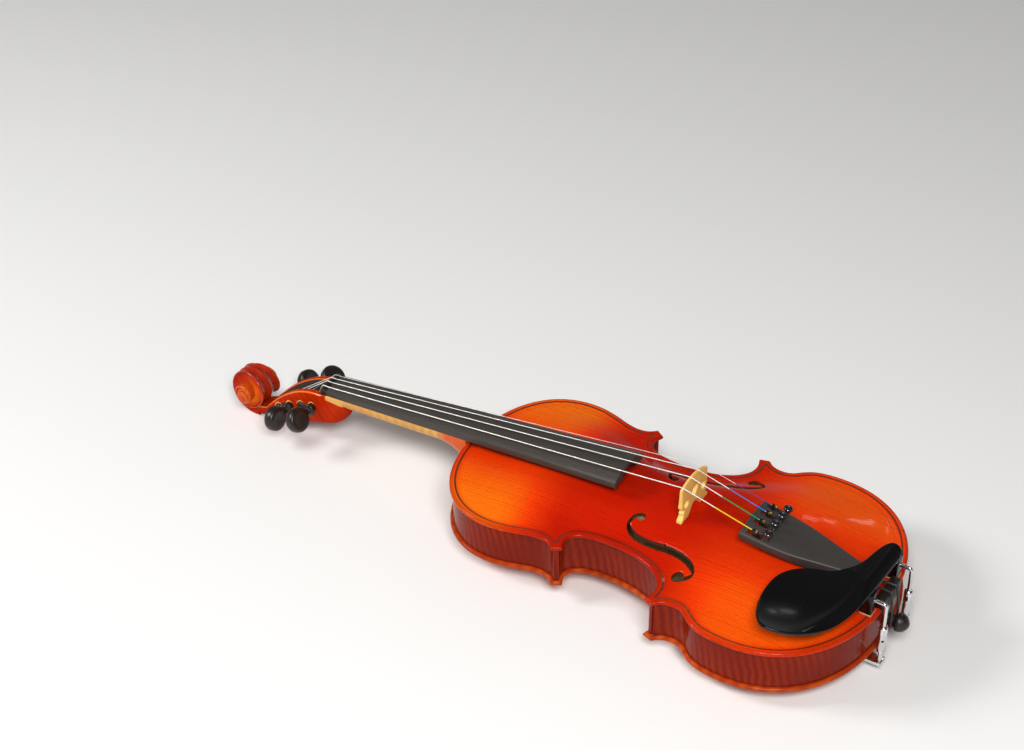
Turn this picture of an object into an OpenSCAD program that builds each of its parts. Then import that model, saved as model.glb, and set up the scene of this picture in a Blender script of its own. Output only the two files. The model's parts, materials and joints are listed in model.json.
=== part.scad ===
// Full-size violin with pegs, fine tuners and chin rest.
// Drawn in a body frame: x from the neck edge to the tail, y to the treble side, z up from the top's edge.

/* [Body outline] */
// Length of the body from the neck edge to the tail edge
body_length = 355; // [351:0.5:358]
// Greatest width of the upper bout
upper_bout = 168.4; // [165:0.2:172]
// Distance of the upper bout's widest place from the neck edge
upper_bout_at = 63.6; // [61:0.2:66]
// Narrowest width at the waist
waist = 109; // [107:0.2:112]
// Distance of the waist from the neck edge
waist_at = 158; // [155:0.5:161]
// Greatest width of the lower bout
lower_bout = 207.6; // [204:0.2:211]
// Distance of the lower bout's widest place from the neck edge
lower_bout_at = 272; // [269:0.5:275]
// Distance of the upper corners from the neck edge
upper_corner_at = 124.2; // [122.5:0.1:126]
// Distance of the upper corner tips from the centre line
upper_corner_out = 79.6; // [78:0.1:81]
// Distance of the lower corners from the neck edge
lower_corner_at = 208.6; // [207:0.1:210]
// Distance of the lower corner tips from the centre line
lower_corner_out = 92.9; // [91.5:0.1:94.5]
// Width of the cut-off corner tips
corner_width = 8.8; // [8.4:0.1:9.4]

/* [Plates and ribs] */
// Thickness of both plates at the edge
plate_edge = 4; // [3.6:0.1:4.6]
// Thickness of both plates inside
plate_wall = 3; // [2.6:0.1:3.4]
// Height of the top's arch above its edge
top_arch = 11.5; // [10:0.1:13]
// Height of the back's arch below its edge
back_arch = 14; // [12.5:0.1:15]
// Width of the flat border round the arch
flat_border = 7.8; // [7.6:0.1:9]
// Height of the ribs
rib_height = 31; // [29:0.2:33]
// Thickness of the ribs
rib_wall = 1.2; // [1:0.05:1.4]
// How far the plates stand out past the ribs
edge_overhang = 2.6; // [2.3:0.1:2.8]
// Distance of the purfling from the edge
purfling_in = 3.9; // [3.7:0.05:4]
// Width of the purfling
purfling_width = 1.3; // [1:0.1:1.5]
// Depth of the purfling
purfling_depth = 1.6; // [1.2:0.1:2]
// Thickness of the linings
lining_wall = 2; // [1.6:0.1:2.4]
// Height of the linings
lining_height = 7; // [6:0.2:8]
// Depth of the neck block and the end block along the body
block_depth = 16; // [14:0.5:18]
// Width of the neck block and the end block
block_width = 54; // [50:1:58]
// Space left at glued joints
glue_gap = 0.04; // [0.02:0.01:0.08]

/* [Sound holes and inside] */
// Distance of the upper eyes from the neck edge
eye_up_at = 165; // [163.5:0.1:166.5]
// Distance of the upper eyes from the centre line
eye_up_out = 25.6; // [24.8:0.1:26.4]
// Diameter of the upper eyes
eye_up_dia = 6.8; // [6.2:0.1:7.2]
// Distance of the lower eyes from the neck edge
eye_low_at = 215.2; // [214:0.1:216]
// Distance of the lower eyes from the centre line
eye_low_out = 61.6; // [60.8:0.1:62.4]
// Diameter of the lower eyes
eye_low_dia = 9; // [8.6:0.1:9.4]
// Width of the sound hole in its middle
stem_width = 5.4; // [4.8:0.1:6]
// Length of the bass bar
bar_length = 270; // [255:1:278]
// Thickness of the bass bar
bar_wall = 5.5; // [5:0.1:6]
// Depth of the bass bar in its middle
bar_depth = 12; // [10:0.5:13]
// Diameter of the sound post
post_dia = 6.2; // [5.8:0.1:6.6]

/* [Neck] */
// Distance of the nut from the body
neck_stop = 135; // [133:0.5:137]
// Width of the fingerboard at the nut
board_width_nut = 24; // [23:0.2:25]
// Width of the fingerboard at its free end
board_width_end = 42.6; // [41:0.2:44]
// Length of the fingerboard
board_length = 274.5; // [270:0.5:278]
// Thickness of the fingerboard's edges
board_edge = 5; // [4.5:0.1:5.5]
// Radius of the fingerboard's rounded top
board_round = 42; // [40:0.5:44]
// Height of the fingerboard's top at the nut, from the top's edge
board_top_nut = -1.8; // [-3:0.1:-1]
// Rise of the fingerboard's top per millimetre of length
board_rise = 0.124; // [0.12:0.001:0.128]
// Depth of the neck's wood at the nut
neck_depth_nut = 13; // [12:0.2:14]
// Depth of the neck's wood before the heel
neck_depth_heel = 15.5; // [14.5:0.2:16.5]
// How deep the neck is set into the block
neck_mortise = 6; // [5:0.2:7]
// Thickness of the nut along the neck
nut_wall = 5.5; // [5:0.1:6]
// Width of the pegbox at the nut
pegbox_width_nut = 27; // [26:0.2:28]
// Width of the pegbox under the scroll
pegbox_width_end = 18; // [17.2:0.2:19]
// Thickness of the pegbox cheeks
cheek_wall = 4.6; // [4.2:0.1:4.8]
// Depth of the pegbox at the nut
pegbox_depth = 30; // [29:0.2:31]
// Depth of the throat below the scroll's eye
throat_below = 10; // [9.4:0.1:10.6]
// Bend of the pegbox's upper edge down to the throat, 1 for straight
throat_bend = 1.9; // [1.8:0.02:2]
// Thickness of the pegbox's floor near the throat
peg_floor = 5; // [4.8:0.1:5.4]
// Distance of the scroll's eye from the nut
scroll_at = 83; // [82:0.2:84]
// Depth of the scroll's eye below the top's edge
scroll_low = 39; // [38.4:0.1:39.6]
// Radius of the scroll where it leaves the pegbox
scroll_radius = 23.5; // [23:0.1:24]
// Width of the scroll over its two eyes
scroll_width = 41; // [39:0.2:43]
// Radius of the scroll's eyes
scroll_eye = 5.6; // [5.2:0.1:6]

/* [Pegs] */
// Diameter of the peg shanks
peg_dia = 7.4; // [7:0.1:7.8]
// Running clearance of the pegs in their holes, on the radius
peg_clearance = 0.05; // [0.03:0.01:0.08]
// Distance from the nut to the first peg
peg_first = 14.5; // [14:0.1:15]
// Distance from peg to peg along the head
peg_step = 12.4; // [12:0.1:12.6]
// Diameter of the peg heads
peg_head_dia = 21; // [19:0.2:22]
// Thickness of the peg heads
peg_head_wall = 9; // [8:0.2:10]
// Diameter of the peg collars
peg_collar_dia = 11.6; // [11:0.2:12.4]
// Length of the pegs outside the cheek, from the collar to the end
peg_reach = 31; // [29:0.5:33]
// Turn of the G peg's head from upright, at rest
peg_g_turn = 25; // [0:5:90]
// Turn of the D peg's head from upright, at rest
peg_d_turn = 10; // [0:5:90]
// Turn of the A peg's head from upright, at rest
peg_a_turn = 30; // [0:5:90]
// Turn of the E peg's head from upright, at rest
peg_e_turn = 55; // [0:5:90]

/* [Strings and bridge] */
// Distance of the bridge from the neck edge
bridge_at = 193.6; // [192:0.2:195]
// Width of the bridge over its feet
bridge_width = 41; // [40:0.2:42]
// Thickness of the bridge at its feet
bridge_wall_foot = 4.6; // [4.2:0.1:5]
// Thickness of the bridge at its top
bridge_wall_top = 1.5; // [1.3:0.1:1.8]
// Height of the middle of the string curve over the top's edge
string_height = 45.4; // [44.5:0.1:46.5]
// Spread of the outer strings at the bridge
string_spread = 34.6; // [33.5:0.1:35.5]
// Spread of the outer strings at the nut
nut_spread = 17; // [16:0.1:17.6]
// How much lower the treble end of the string curve lies than the bass end
bridge_slope = 3.2; // [2.6:0.1:3.8]
// Diameter of the G string
string_g_dia = 0.84; // [0.7:0.02:0.9]
// Diameter of the D string
string_d_dia = 0.8; // [0.7:0.02:0.9]
// Diameter of the A string
string_a_dia = 0.7; // [0.6:0.02:0.8]
// Diameter of the E string
string_e_dia = 0.4; // [0.3:0.02:0.5]
// Number of turns of a string on its peg
wound_turns = 4; // [3:1:4]
// Free space between the turns on a peg
wound_space = 0.5; // [0.45:0.01:0.55]

/* [Tailpiece] */
// Length of the tailpiece
tail_length = 101; // [99:0.5:102]
// Width of the tailpiece at the bridge end
tail_width = 42; // [41:0.2:43]
// Width of the tailpiece at the other end
tail_width_end = 13; // [12.4:0.2:14]
// Distance of the tailpiece's front from the neck edge
tail_front = 243; // [242:0.2:244]
// Height of the tailpiece's front over the top's edge
tail_high = 29.4; // [28.8:0.1:30]
// Downward slope of the tailpiece in degrees
tail_slope = 9; // [8.6:0.1:9.4]
// Radius of the tailpiece's rounded top
tail_round = 60; // [55:1:66]
// Thickness of the tailpiece's shell
tail_wall = 2.6; // [2.3:0.1:2.9]
// Depth of the tailpiece over its middle
tail_depth = 9.5; // [9.2:0.1:10]
// Diameter of the tail cord
cord_dia = 1.9; // [1.6:0.1:2.1]
// Distance of the tuner screws from the tailpiece's front
screw_at = 20; // [19.6:0.1:20.5]
// Distance of the tuner pivot from the tailpiece's front
pivot_at = 12.6; // [12.3:0.1:12.9]
// Diameter of the tuner screws
screw_dia = 3; // [2.8:0.1:3.2]
// Diameter of the tuner knobs
knob_dia = 7; // [6.6:0.1:7.6]
// Diameter of the tuner pivot
pivot_dia = 1.8; // [1.6:0.1:2]
// Width of the tuner levers
lever_width = 2.4; // [2.2:0.1:2.8]

/* [Tail and chin rest] */
// Height of the saddle over the top's edge
saddle_high = 8.2; // [7.8:0.1:8.6]
// Length of the saddle across the body
saddle_length = 29; // [27:0.2:30]
// Diameter of the end button's head
button_dia = 14.6; // [13.6:0.2:15.6]
// Diameter of the end button's shank
button_shank = 8; // [7.4:0.1:8.4]
// Height of the chin rest's rim over the top's edge
rest_high = 25; // [24.4:0.1:26]
// Thickness of the chin rest's arm
rest_wall = 6; // [5.4:0.1:6.2]
// Radius of the chin rest's hollow
rest_hollow = 92; // [88:1:98]
// Depth of the chin rest's hollow below its rim
rest_deep = 10.5; // [9.5:0.1:11]
// Thickness of the chin rest's bowl
bowl_wall = 4.5; // [4:0.1:5]
// Distance of the clamp screws from the centre line
clamp_out = 22; // [21.4:0.1:23]
// Diameter of the clamp barrels
barrel_dia = 6.4; // [6:0.1:6.8]
// Length of the clamp barrels
barrel_length = 24; // [22:0.5:26]
// Diameter of the clamp rods
rod_dia = 3; // [2.7:0.1:3.3]
// Thickness of the cork under the chin rest and on the clamp foot
cork_wall = 1.4; // [1.2:0.1:1.6]

/* [Hidden] */
$fn = 48;
uw = upper_bout / 2;
cw = waist / 2;
lw = lower_bout / 2;
rib_low = -plate_edge - rib_height;
back_edge = rib_low - plate_edge;

// Curves of the body outline, one half
function bez(p, t) = pow(1 - t, 3) * p[0] + 3 * pow(1 - t, 2) * t * p[1] + 3 * (1 - t) * t * t * p[2]
  + pow(t, 3) * p[3];
function bez_way(p, t) = 3 * pow(1 - t, 2) * (p[1] - p[0]) + 6 * (1 - t) * t * (p[2] - p[1]) + 3 * t * t
  * (p[3] - p[2]);
function run(p, n, first) =
  [for (i = [first:n]) let (d = bez_way(p, i / n)) [bez(p, i / n), [d[1], -d[0]] / norm(d)]];
function inset(r, d) = [for (q = r) q[0] + d * q[1]];
function cut(r, a, b) = [for (i = [a:len(r) - 1 - b]) r[i]];
function flip(p) = [for (i = [len(p) - 1:-1:0]) [p[i][0], -p[i][1]]];
function whole(p) = concat(p, [for (q = flip(p)) if (abs(q[1]) > 0.01) q]);

up_a = [upper_corner_at, upper_corner_out] - corner_width / 2 * [cos(33), -sin(33)];
up_b = [upper_corner_at, upper_corner_out] + corner_width / 2 * [cos(33), -sin(33)];
low_a = [lower_corner_at, lower_corner_out] - corner_width / 2 * [cos(16), sin(16)];
low_b = [lower_corner_at, lower_corner_out] + corner_width / 2 * [cos(16), sin(16)];
up_dip = up_a + [-14.5, -6.4];
low_dip = low_b + [16, -5.8];
upper_run = concat(
  run([[0, 0], [0, 0.585 * uw], [0.38 * upper_bout_at, uw], [upper_bout_at, uw]], 16, 0),
  run([[upper_bout_at, uw], [upper_bout_at + 19, uw], up_dip - [11, 0], up_dip], 8, 1),
  run([up_dip, up_dip + [7, 0], up_a - [4, 4.6], up_a], 6, 1)
);
waist_run = concat(
  run([up_b, up_b - [8.5, 14], [waist_at - 30, cw], [waist_at, cw]], 12, 0),
  run([[waist_at, cw], [waist_at + 28, cw], low_a + [11.5, -24], low_a], 16, 1)
);
lower_run = concat(
  run([low_b, low_b + [3.5, -5], low_dip - [6, 1], low_dip], 6, 0),
  run([low_dip, low_dip + [12, 2], [lower_bout_at - 34, lw], [lower_bout_at, lw]], 10, 1),
  run([[lower_bout_at, lw], [lower_bout_at + 47.5, lw], [body_length, 0.643 * lw], [body_length, 0]],
    16, 1)
);
outline = whole(concat(inset(upper_run, 0), inset(waist_run, 0), inset(lower_run, 0)));
function inner_outline(d) = whole(
  concat(inset(cut(upper_run, 0, 2), d), inset(cut(waist_run, 2, 2), d), inset(cut(lower_run, 2, 0), d))
);

// Arch of the plates: a long arch and a cross arch, flat at the border
arch_from = flat_border;
arch_to = body_length - flat_border;
arch_mid = 0.53 * body_length;
arch_lag = 8;
function ease(t) = (1 - cos(180 * t)) / 2;
function lobe(t) = pow(max(0.0001, 1 - pow(t, 2.2)), 1 / 2.2);
function arch_side(x) =
  x < upper_bout_at ? (uw - flat_border) * lobe((upper_bout_at - x) / (upper_bout_at - arch_from))
  : x < waist_at ? uw - flat_border + (cw - uw) * ease((x - upper_bout_at) / (waist_at - upper_bout_at))
  : x < lower_bout_at ? cw - flat_border + (lw - cw) * ease(max(0,
    x - waist_at - arch_lag) / (lower_bout_at - waist_at - arch_lag))
  : (lw - flat_border) * lobe((x - lower_bout_at) / (arch_to - lower_bout_at));
function arch_long(x) =
  let (q = x > arch_mid ? (x - arch_mid) / (arch_to - arch_mid) : (arch_mid - x) / (arch_mid
    - arch_from))
  1 - ease(pow(min(1, max(0, q)), 2.2));
function arch(x, y) = arch_long(x) * (1 - ease(pow(min(1, abs(y) / arch_side(x)), 2.1)));
function top_out(x, y) = top_arch * arch(x, y);
function top_in(x, y) = -plate_edge + (top_arch + plate_edge - plate_wall) * arch(x, y);
function back_out(x, y) = back_edge - back_arch * arch(x, y);
function back_in(x, y) = rib_low - (back_arch + plate_edge - plate_wall) * arch(x, y);

// One arched shell with a tongue that reaches into the flat border
tongue = 1.2;
sink = 0.06;
dome_rows = 34;
dome_cols = 18;
dome_a = arch_from + 1.2;
dome_b = arch_to - 1.2;
function dome_x(i) =
  i == 0 ? dome_a - tongue : i == dome_rows ? dome_b + tongue : dome_a + (dome_b - dome_a)
    * ease((i - 1) / (dome_rows - 2));
function dome_y(i, j) =
  let (s = 2 * j / dome_cols - 1, x = min(dome_b, max(dome_a, dome_x(i))))
  (abs(s) == 1 ? tongue * sign(s) : 0) + arch_side(x) * sign(s) * pow(abs(s), 0.85);
module shell(up, low) {
  rows = dome_rows + 1;
  cols = dome_cols + 1;
  pts = [
    for (k = [0, 1])
      for (i = [0:dome_rows])
        for (j = [0:dome_cols])
          let (
            x = dome_x(i),
            y = dome_y(i, j),
            rim = i == 0 || j == 0 || i == dome_rows || j == dome_cols,
            h = rim ? 0 : arch(x, y)
          )
            [x, y, k == 0 ? up[0] + up[1] * h : low[0] + low[1] * h]
  ];
  function at(k, i, j) = k * rows * cols + i * cols + j;
  tops = [
    for (i = [0:dome_rows - 1])
      for (j = [0:dome_cols - 1])
        for (h = [0, 1])
          h == 0 ? [at(0, i, j), at(0, i, j + 1), at(0, i + 1, j + 1)] : [at(0, i, j),
            at(0, i + 1, j + 1), at(0, i + 1, j)]
  ];
  lows = [
    for (i = [0:dome_rows - 1])
      for (j = [0:dome_cols - 1])
        for (h = [0, 1])
          h == 0 ? [at(1, i, j), at(1, i + 1, j + 1), at(1, i, j + 1)] : [at(1, i, j), at(1, i + 1, j),
            at(1, i + 1, j + 1)]
  ];
  ring = concat(
    [for (j = [0:dome_cols]) [0, j]],
    [for (i = [1:dome_rows]) [i, dome_cols]],
    [for (j = [dome_cols - 1:-1:0]) [dome_rows, j]],
    [for (i = [dome_rows - 1:-1:1]) [i, 0]]
  );
  n = len(ring);
  walls = [
    for (m = [0:n - 1])
      let (a = ring[m], b = ring[(m + 1) % n])
        for (h = [0, 1])
          h == 0 ? [at(0, a[0], a[1]), at(1, a[0], a[1]), at(1, b[0], b[1])] : [at(0, a[0], a[1]),
            at(1, b[0], b[1]), at(0, b[0], b[1])]
  ];
  polyhedron(pts, concat(tops, lows, walls), convexity = 6);
}
arch_hole = concat(
  [for (i = [1:dome_rows - 1]) [dome_x(i), arch_side(dome_x(i))]],
  [for (i = [dome_rows - 1:-1:1]) [dome_x(i), -arch_side(dome_x(i))]]
);
module border(z, thick) {
  difference() {
    translate([0, 0, z]) linear_extrude(thick) polygon(outline);
    translate([0, 0, z - 1]) linear_extrude(thick + 2) polygon(arch_hole);
  }
}
function purfling_line(d, k) = whole(
  concat(inset(cut(upper_run, 0, k), d), inset(cut(waist_run, k, k), d), inset(cut(lower_run, k, 0), d))
);
module purfling(z, thick, grow) {
  difference() {
    translate([0, 0, z]) linear_extrude(thick) polygon(purfling_line(purfling_in - grow, 1));
    translate([0, 0, z - 1]) linear_extrude(thick + 2)
      polygon(purfling_line(purfling_in + purfling_width + grow, 2));
  }
}

// Sound holes
stem_a = [eye_up_at - 7.4, eye_up_out + 8.2];
stem_b = [eye_low_at + 10.4, eye_low_out - 5.4];
module sound_hole() {
  mid = [(stem_a[0] + stem_b[0]) / 2, (stem_a[1] + stem_b[1]) / 2 - 2.6];
  ru = eye_up_dia / 2;
  rl = eye_low_dia / 2;
  half = stem_width / 2;
  inner = concat(
    [for (i = [0:10]) bez([stem_a + [1.6, -1.2], stem_a + [8, 5.6], mid + [-14, -half - 0.8],
      mid + [0, -half]], i / 10)],
    [for (i = [1:10]) bez([mid + [0, -half], mid + [14, -half + 0.8], stem_b - [3, 11], stem_b],
      i / 10)]
  );
  low_turn = concat(
    [for (i = [1:6]) bez([stem_b, stem_b + [1, 5], [eye_low_at + 6.4, eye_low_out + 3],
      [eye_low_at, eye_low_out + rl]], i / 6)],
    [for (i = [0:4]) bez([[eye_low_at, eye_low_out + 1], [eye_low_at + 3, eye_low_out],
      stem_b - [3, -3], stem_b - [1.6, -0.6]], i / 4)]
  );
  outer = concat(
    [for (i = [1:10]) bez([stem_b - [1.6, -0.6], stem_b - [8, 5.8], mid + [14, half + 0.8],
      mid + [0, half]], i / 10)],
    [for (i = [1:10]) bez([mid + [0, half], mid + [-14, half - 0.8], stem_a + [3, 10.4], stem_a],
      i / 10)]
  );
  up_turn = concat(
    [for (i = [1:6]) bez([stem_a, stem_a - [0.6, 5], [eye_up_at - 5.4, eye_up_out - 2.4],
      [eye_up_at, eye_up_out - ru]], i / 6)],
    [for (i = [0:4]) bez([[eye_up_at, eye_up_out - 0.6], [eye_up_at - 2.4, eye_up_out],
      stem_a + [2.6, -3], stem_a + [1.6, -1.2]], i / 4)]
  );
  z = -plate_edge - 2;
  tall = top_arch + plate_edge + 4;
  translate([0, 0, z]) linear_extrude(tall) polygon(concat(inner, low_turn, outer, up_turn));
  translate([eye_up_at, eye_up_out, z]) cylinder(d = eye_up_dia, h = tall, $fn = 28);
  translate([eye_low_at, eye_low_out, z]) cylinder(d = eye_low_dia, h = tall, $fn = 28);
  for (s = [-1, 1]) translate([mid[0] + 1.5 * s, mid[1] - s * half, z])
    cylinder(d = 1.6, h = tall, $fn = 4);
}

// Fingerboard lines
function board_top(x) = board_top_nut + board_rise * (x + neck_stop);
function board_half(x) = (board_width_nut + (board_width_end - board_width_nut)
  * (x + neck_stop) / board_length) / 2;
function board_drop(y) = board_round - sqrt(board_round * board_round - y * y);
board_end = board_length - neck_stop;
under_nut = board_top(-neck_stop) - board_drop(board_width_nut / 2) - board_edge;
under_end = board_top(board_end) - board_drop(board_width_end / 2) - board_edge;
under_rise = (under_end - under_nut) / board_length;
function board_under(x) = under_nut + under_rise * (x + neck_stop);
board_tilt = atan(board_rise);
under_tilt = atan(under_rise);

// Neck and heel: one section per station, flat on top
heel_from = -30;
heel_low = rib_low + glue_gap;
function heel(x) = x < heel_from ? 0 : 1 - sqrt(max(0,
  1 - pow(min(1, (x - heel_from) / (-1 - heel_from)), 2)));
function neck_deep(x) =
  let (d = neck_depth_nut + (neck_depth_heel - neck_depth_nut) * min(1,
    (x + neck_stop) / (heel_from + neck_stop)))
  d + (board_under(x) - heel_low - d) * heel(x);
function neck_section(x, grow) =
  let (h = heel(x), e = 1 - 0.55 * h, taper = 0.36 * h, w = board_half(x) + grow,
    d = neck_deep(x) + grow)
  [
    for (a = [0:15:180])
      let (z = pow(sin(a), e), y = sign(cos(a)) * pow(abs(cos(a)), e))
        [w * y * (1 - taper * z), -d * z]
  ];
neck_stations = concat(
  [for (i = [0:5]) -neck_stop - 2 + (heel_from + neck_stop + 2) * i / 5],
  [for (a = [20:14:90]) heel_from + (-1 - heel_from) * sin(a)],
  [-1]
);
module neck_shaft() {
  m = 13;
  n = len(neck_stations);
  pts = [for (x = neck_stations) for (q = neck_section(x, 0)) [x, q[0], board_under(x) + q[1]]];
  faces = concat(
    [for (i = [0:n - 2]) for (j = [0:m - 1]) for (h = [0, 1])
      let (a = i * m + j, b = i * m + (j + 1) % m)
        h == 0 ? [a, b, b + m] : [a, b + m, a + m]],
    [[for (j = [m - 1:-1:0]) j]],
    [[for (j = [0:m - 1]) (n - 1) * m + j]]
  );
  polyhedron(pts, faces, convexity = 4);
}
module heel_root(grow, from, to) {
  translate([from, 0, 0]) rotate([90, 0, 90]) linear_extrude(to - from)
    polygon([for (q = neck_section(-1, grow)) [q[0],
      board_under(0) + q[1] + (q[1] > -0.01 ? 3 * grow : 0)]]);
}

// Pegbox and scroll
eye_x = -neck_stop - scroll_at;
eye_z = -scroll_low;
box_from = -neck_stop - nut_wall - 0.5;
turn_start = -70;
turn_full = 750;
turn_step = 15;
function turn_r(k) = k >= turn_full ? scroll_eye : scroll_eye + (scroll_radius - scroll_eye)
  * pow(1 - k / turn_full, 1.2);
function turn_w(k) =
  let (far = scroll_width / 2)
  k >= turn_full ? far
  : k > 220 ? 6 + (far - 6) * pow((k - 220) / (turn_full - 220), 1.25)
  : 6 + (turn_w(360) - 6) * pow((220 - k) / 220, 1.3);
function turn_at(k, r) = [eye_x + r * cos(turn_start - k), eye_z + r * sin(turn_start - k)];
module scroll() {
  lap = 360 / turn_step;
  last = turn_full / turn_step;
  n = last + lap;
  // Four points at each step: rim at own width on both sides, rim at the width one turn before on both sides
  pts = [
    for (i = [0:n])
      let (k = i * turn_step, p = turn_at(k, turn_r(k)), w = turn_w(k),
        b = i < lap ? w : turn_w(k - 360))
        for (y = [-w, w, -b, b]) [p[0], y, p[1]]
  ];
  rim = [
    for (i = [0:lap - 1]) for (h = [0, 1])
      let (a = 4 * i, b = 4 * (i + 1))
        h == 0 ? [a, a + 1, b + 1] : [a, b + 1, b]
  ];
  wall = [
    for (i = [lap:n - 1]) for (s = [0, 1]) for (h = [0, 1])
      let (a = 4 * i, b = 4 * (i + 1), flat = (i == lap && s == h) || (i == n - 1 && s != h))
        if (!flat) s == 0 ? (h == 0 ? [a, a + 2, b + 2] : [a, b + 2, b]) : (h == 0 ? [a + 1, b + 1,
          b + 3] : [a + 1, b + 3, a + 3])
  ];
  bed = [
    for (i = [0:last - 1]) for (s = [0, 1]) for (h = [0, 1])
      let (a = 4 * i, b = 4 * (i + 1), c = 4 * (i + lap) + 2, d = 4 * (i + 1 + lap) + 2)
        if (i < last - 1 || h == 1) s == 0 ? (h == 0 ? [a, b, d] : [a, d, c]) : (h == 0 ? [a + 1, d + 1,
          b + 1] : [a + 1, c + 1, d + 1])
  ];
  first = [[0, 4 * lap + 2, 4 * lap + 3], [0, 4 * lap + 3, 1]];
  eyes = [[for (i = [last:n - 1]) 4 * i], [for (i = [n - 1:-1:last]) 4 * i + 1]];
  polyhedron(pts, concat(rim, wall, bed, first, eyes), convexity = 10);
}
box_top = board_under(box_from);
box_low = box_top - pegbox_depth;
throat = [eye_x + 16, eye_z - throat_below];
back_join = turn_at(2, turn_r(2) - 0.4);
chin = [box_from - 1, box_low];
box_side = concat(
  [[-neck_stop + 3, board_under(-neck_stop + 3)]],
  [for (i = [0:8]) let (x = box_from + (throat[0] - box_from) * i / 8) [x, box_upper(x)]],
  [[eye_x + 8, throat[1] - 3], back_join, chin],
  [for (a = [20:20:80])
    chin + [11 - 11 * cos(a), (pegbox_depth - neck_depth_nut - 1.2) * (1 - cos(a)) * sin(a)]],
  [[-neck_stop + 3, board_under(-neck_stop + 3) - neck_depth_nut + 1]]
);
function box_half(x) =
  (pegbox_width_nut + (pegbox_width_end - pegbox_width_nut) * (box_from - x) / (box_from
    - throat[0])) / 2;
function box_slope(x, a, b) = a[1] + (b[1] - a[1]) * (x - a[0]) / (b[0] - a[0]);
function box_upper(x) = box_top + (throat[1] - box_top) * pow(max(0, (box_from - x) / (box_from
  - throat[0])), throat_bend);
function box_lower(x) = box_slope(x, chin, back_join);
hollow_a = box_from - 1.5;
hollow_b = throat[0] + 5.5;
module side_sheet(pts, y0, y1) {
  translate([0, y1, 0]) rotate([90, 0, 0]) linear_extrude(y1 - y0) polygon(pts);
}
module pegbox() {
  intersection() {
    side_sheet(box_side, -20, 20);
    translate([0, 0, -90]) linear_extrude(120) polygon([
      for (s = [-1, 1])
        for (x = s < 0 ? [-neck_stop + 4, -neck_stop - 1, box_from, throat[0] - 14] : [throat[0] - 14,
          box_from, -neck_stop - 1, -neck_stop + 4])
          [x, s * (x > box_from ? board_half(-neck_stop) + (x < -neck_stop ? 0.6 : 0) : box_half(x))]
    ]);
  }
}
module peg_hollow() {
  intersection() {
    side_sheet([
      [hollow_a, 30], [hollow_b, 30], [hollow_b, box_upper(hollow_b) - 3],
      [hollow_b + 4, box_lower(hollow_b + 4) + peg_floor],
      [hollow_a - 3, box_lower(hollow_a - 3) + 8], [hollow_a, box_lower(hollow_a) + 11]
    ], -20, 20);
    translate([0, 0, -90]) linear_extrude(160) polygon([
      [hollow_a + 1, cheek_wall - box_half(hollow_a)], [hollow_b - 1, cheek_wall - box_half(hollow_b)],
      [hollow_b - 1, box_half(hollow_b) - cheek_wall], [hollow_a + 1, box_half(hollow_a) - cheek_wall]
    ]);
  }
}

// Pegs in order from the nut: G, E, D, A; heads on the bass side for G and D
function peg_x(i) = -neck_stop - peg_first - peg_step * i;
function peg_z(i) = box_upper(peg_x(i)) * 0.53 + box_lower(peg_x(i)) * 0.47;
function peg_out(i) = box_half(peg_x(i));
module peg_place(i, bass) {
  translate([peg_x(i), 0, peg_z(i)]) rotate([bass ? 90 : -90, 0, 0]) children();
}
module peg_holes() {
  for (i = [0:3]) translate([peg_x(i), 40, peg_z(i)]) rotate([90, 0, 0])
    cylinder(d = peg_dia + 2 * peg_clearance, h = 80);
}
module peg(i, bass, turn) {
  out = peg_out(i);
  r = peg_dia / 2;
  cr = peg_collar_dia / 2;
  head = out + peg_reach - peg_head_dia / 2;
  color("#1c1614") peg_place(i, bass) {
    rotate_extrude() polygon([
      [0, -out - 2.2], [r - 1.2, -out - 2.2], [r, -out - 1], [r, out + 4], [cr - 1, out + 4],
      [cr, out + 4.8], [cr, out + 6],
      [cr - 1.4, out + 7], [r - 0.3, out + 7.6], [r - 0.4, head - peg_head_dia / 2 + 1], [r, head],
      [0, head]
    ]);
    rotate([0, 0, bass ? turn : -turn]) intersection() {
      translate([0, 0, head]) rotate([0, 90, 0]) cylinder(d = peg_head_dia, h = 2 * peg_head_wall,
        center = true);
      union() for (s = [-1, 1]) intersection() {
        translate([s * (peg_head_wall / 2 - 30), 0, head]) rotate([0, s * 90, 0])
          cylinder(r1 = 40, r2 = 10, h = 30);
        translate([s > 0 ? -0.5 : -40, -20, head - 20]) cube([40.5, 40, 40]);
      }
    }
    translate([0, 0, head + peg_head_dia / 2 - 0.6]) sphere(d = 3.4);
  }
}

// String routes
string_dias = [string_g_dia, string_d_dia, string_a_dia, string_e_dia];
string_pegs = [0, 2, 3, 1];
function string_side(i) = (2 * i - 3) / 3;
function nut_y(i) = nut_spread / 2 * string_side(i);
function nut_z(i, x) = board_top(x) - board_drop(nut_y(i)) + 0.7 + string_dias[i] / 2;
function bridge_y(i) = string_spread / 2 * string_side(i);
function curve_z(y) = string_height - board_drop(y) - bridge_slope / 2 * y / (string_spread / 2);
function bridge_z(i) = curve_z(bridge_y(i));
tuner_spread = 32;
function tuner_y(i) = tuner_spread / 2 * string_side(i);
function tail_out(y) = sqrt(tail_round * tail_round - y * y) - tail_round;
function tail_point(p) =
  [tail_front + p[0] * cos(tail_slope) + p[2] * sin(tail_slope), p[1],
  tail_high - p[0] * sin(tail_slope) + p[2] * cos(tail_slope)];
hook_at = 7.8;
hook_over = 2.2;
function string_tail(i) = tail_point([hook_at - 0.5, tuner_y(i), tail_out(tuner_y(i)) + hook_over]);
function wound_r(i) = peg_dia / 2 + string_dias[i] / 2 + 0.12;
function wound_step(i) = string_dias[i] + wound_space;
function wound_side(i) = i < 2 ? -1 : 1;
wound_from = [1.4, 1.2, 1, 1.2];
function wound_y(i) = wound_side(i) * wound_from[i];
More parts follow.
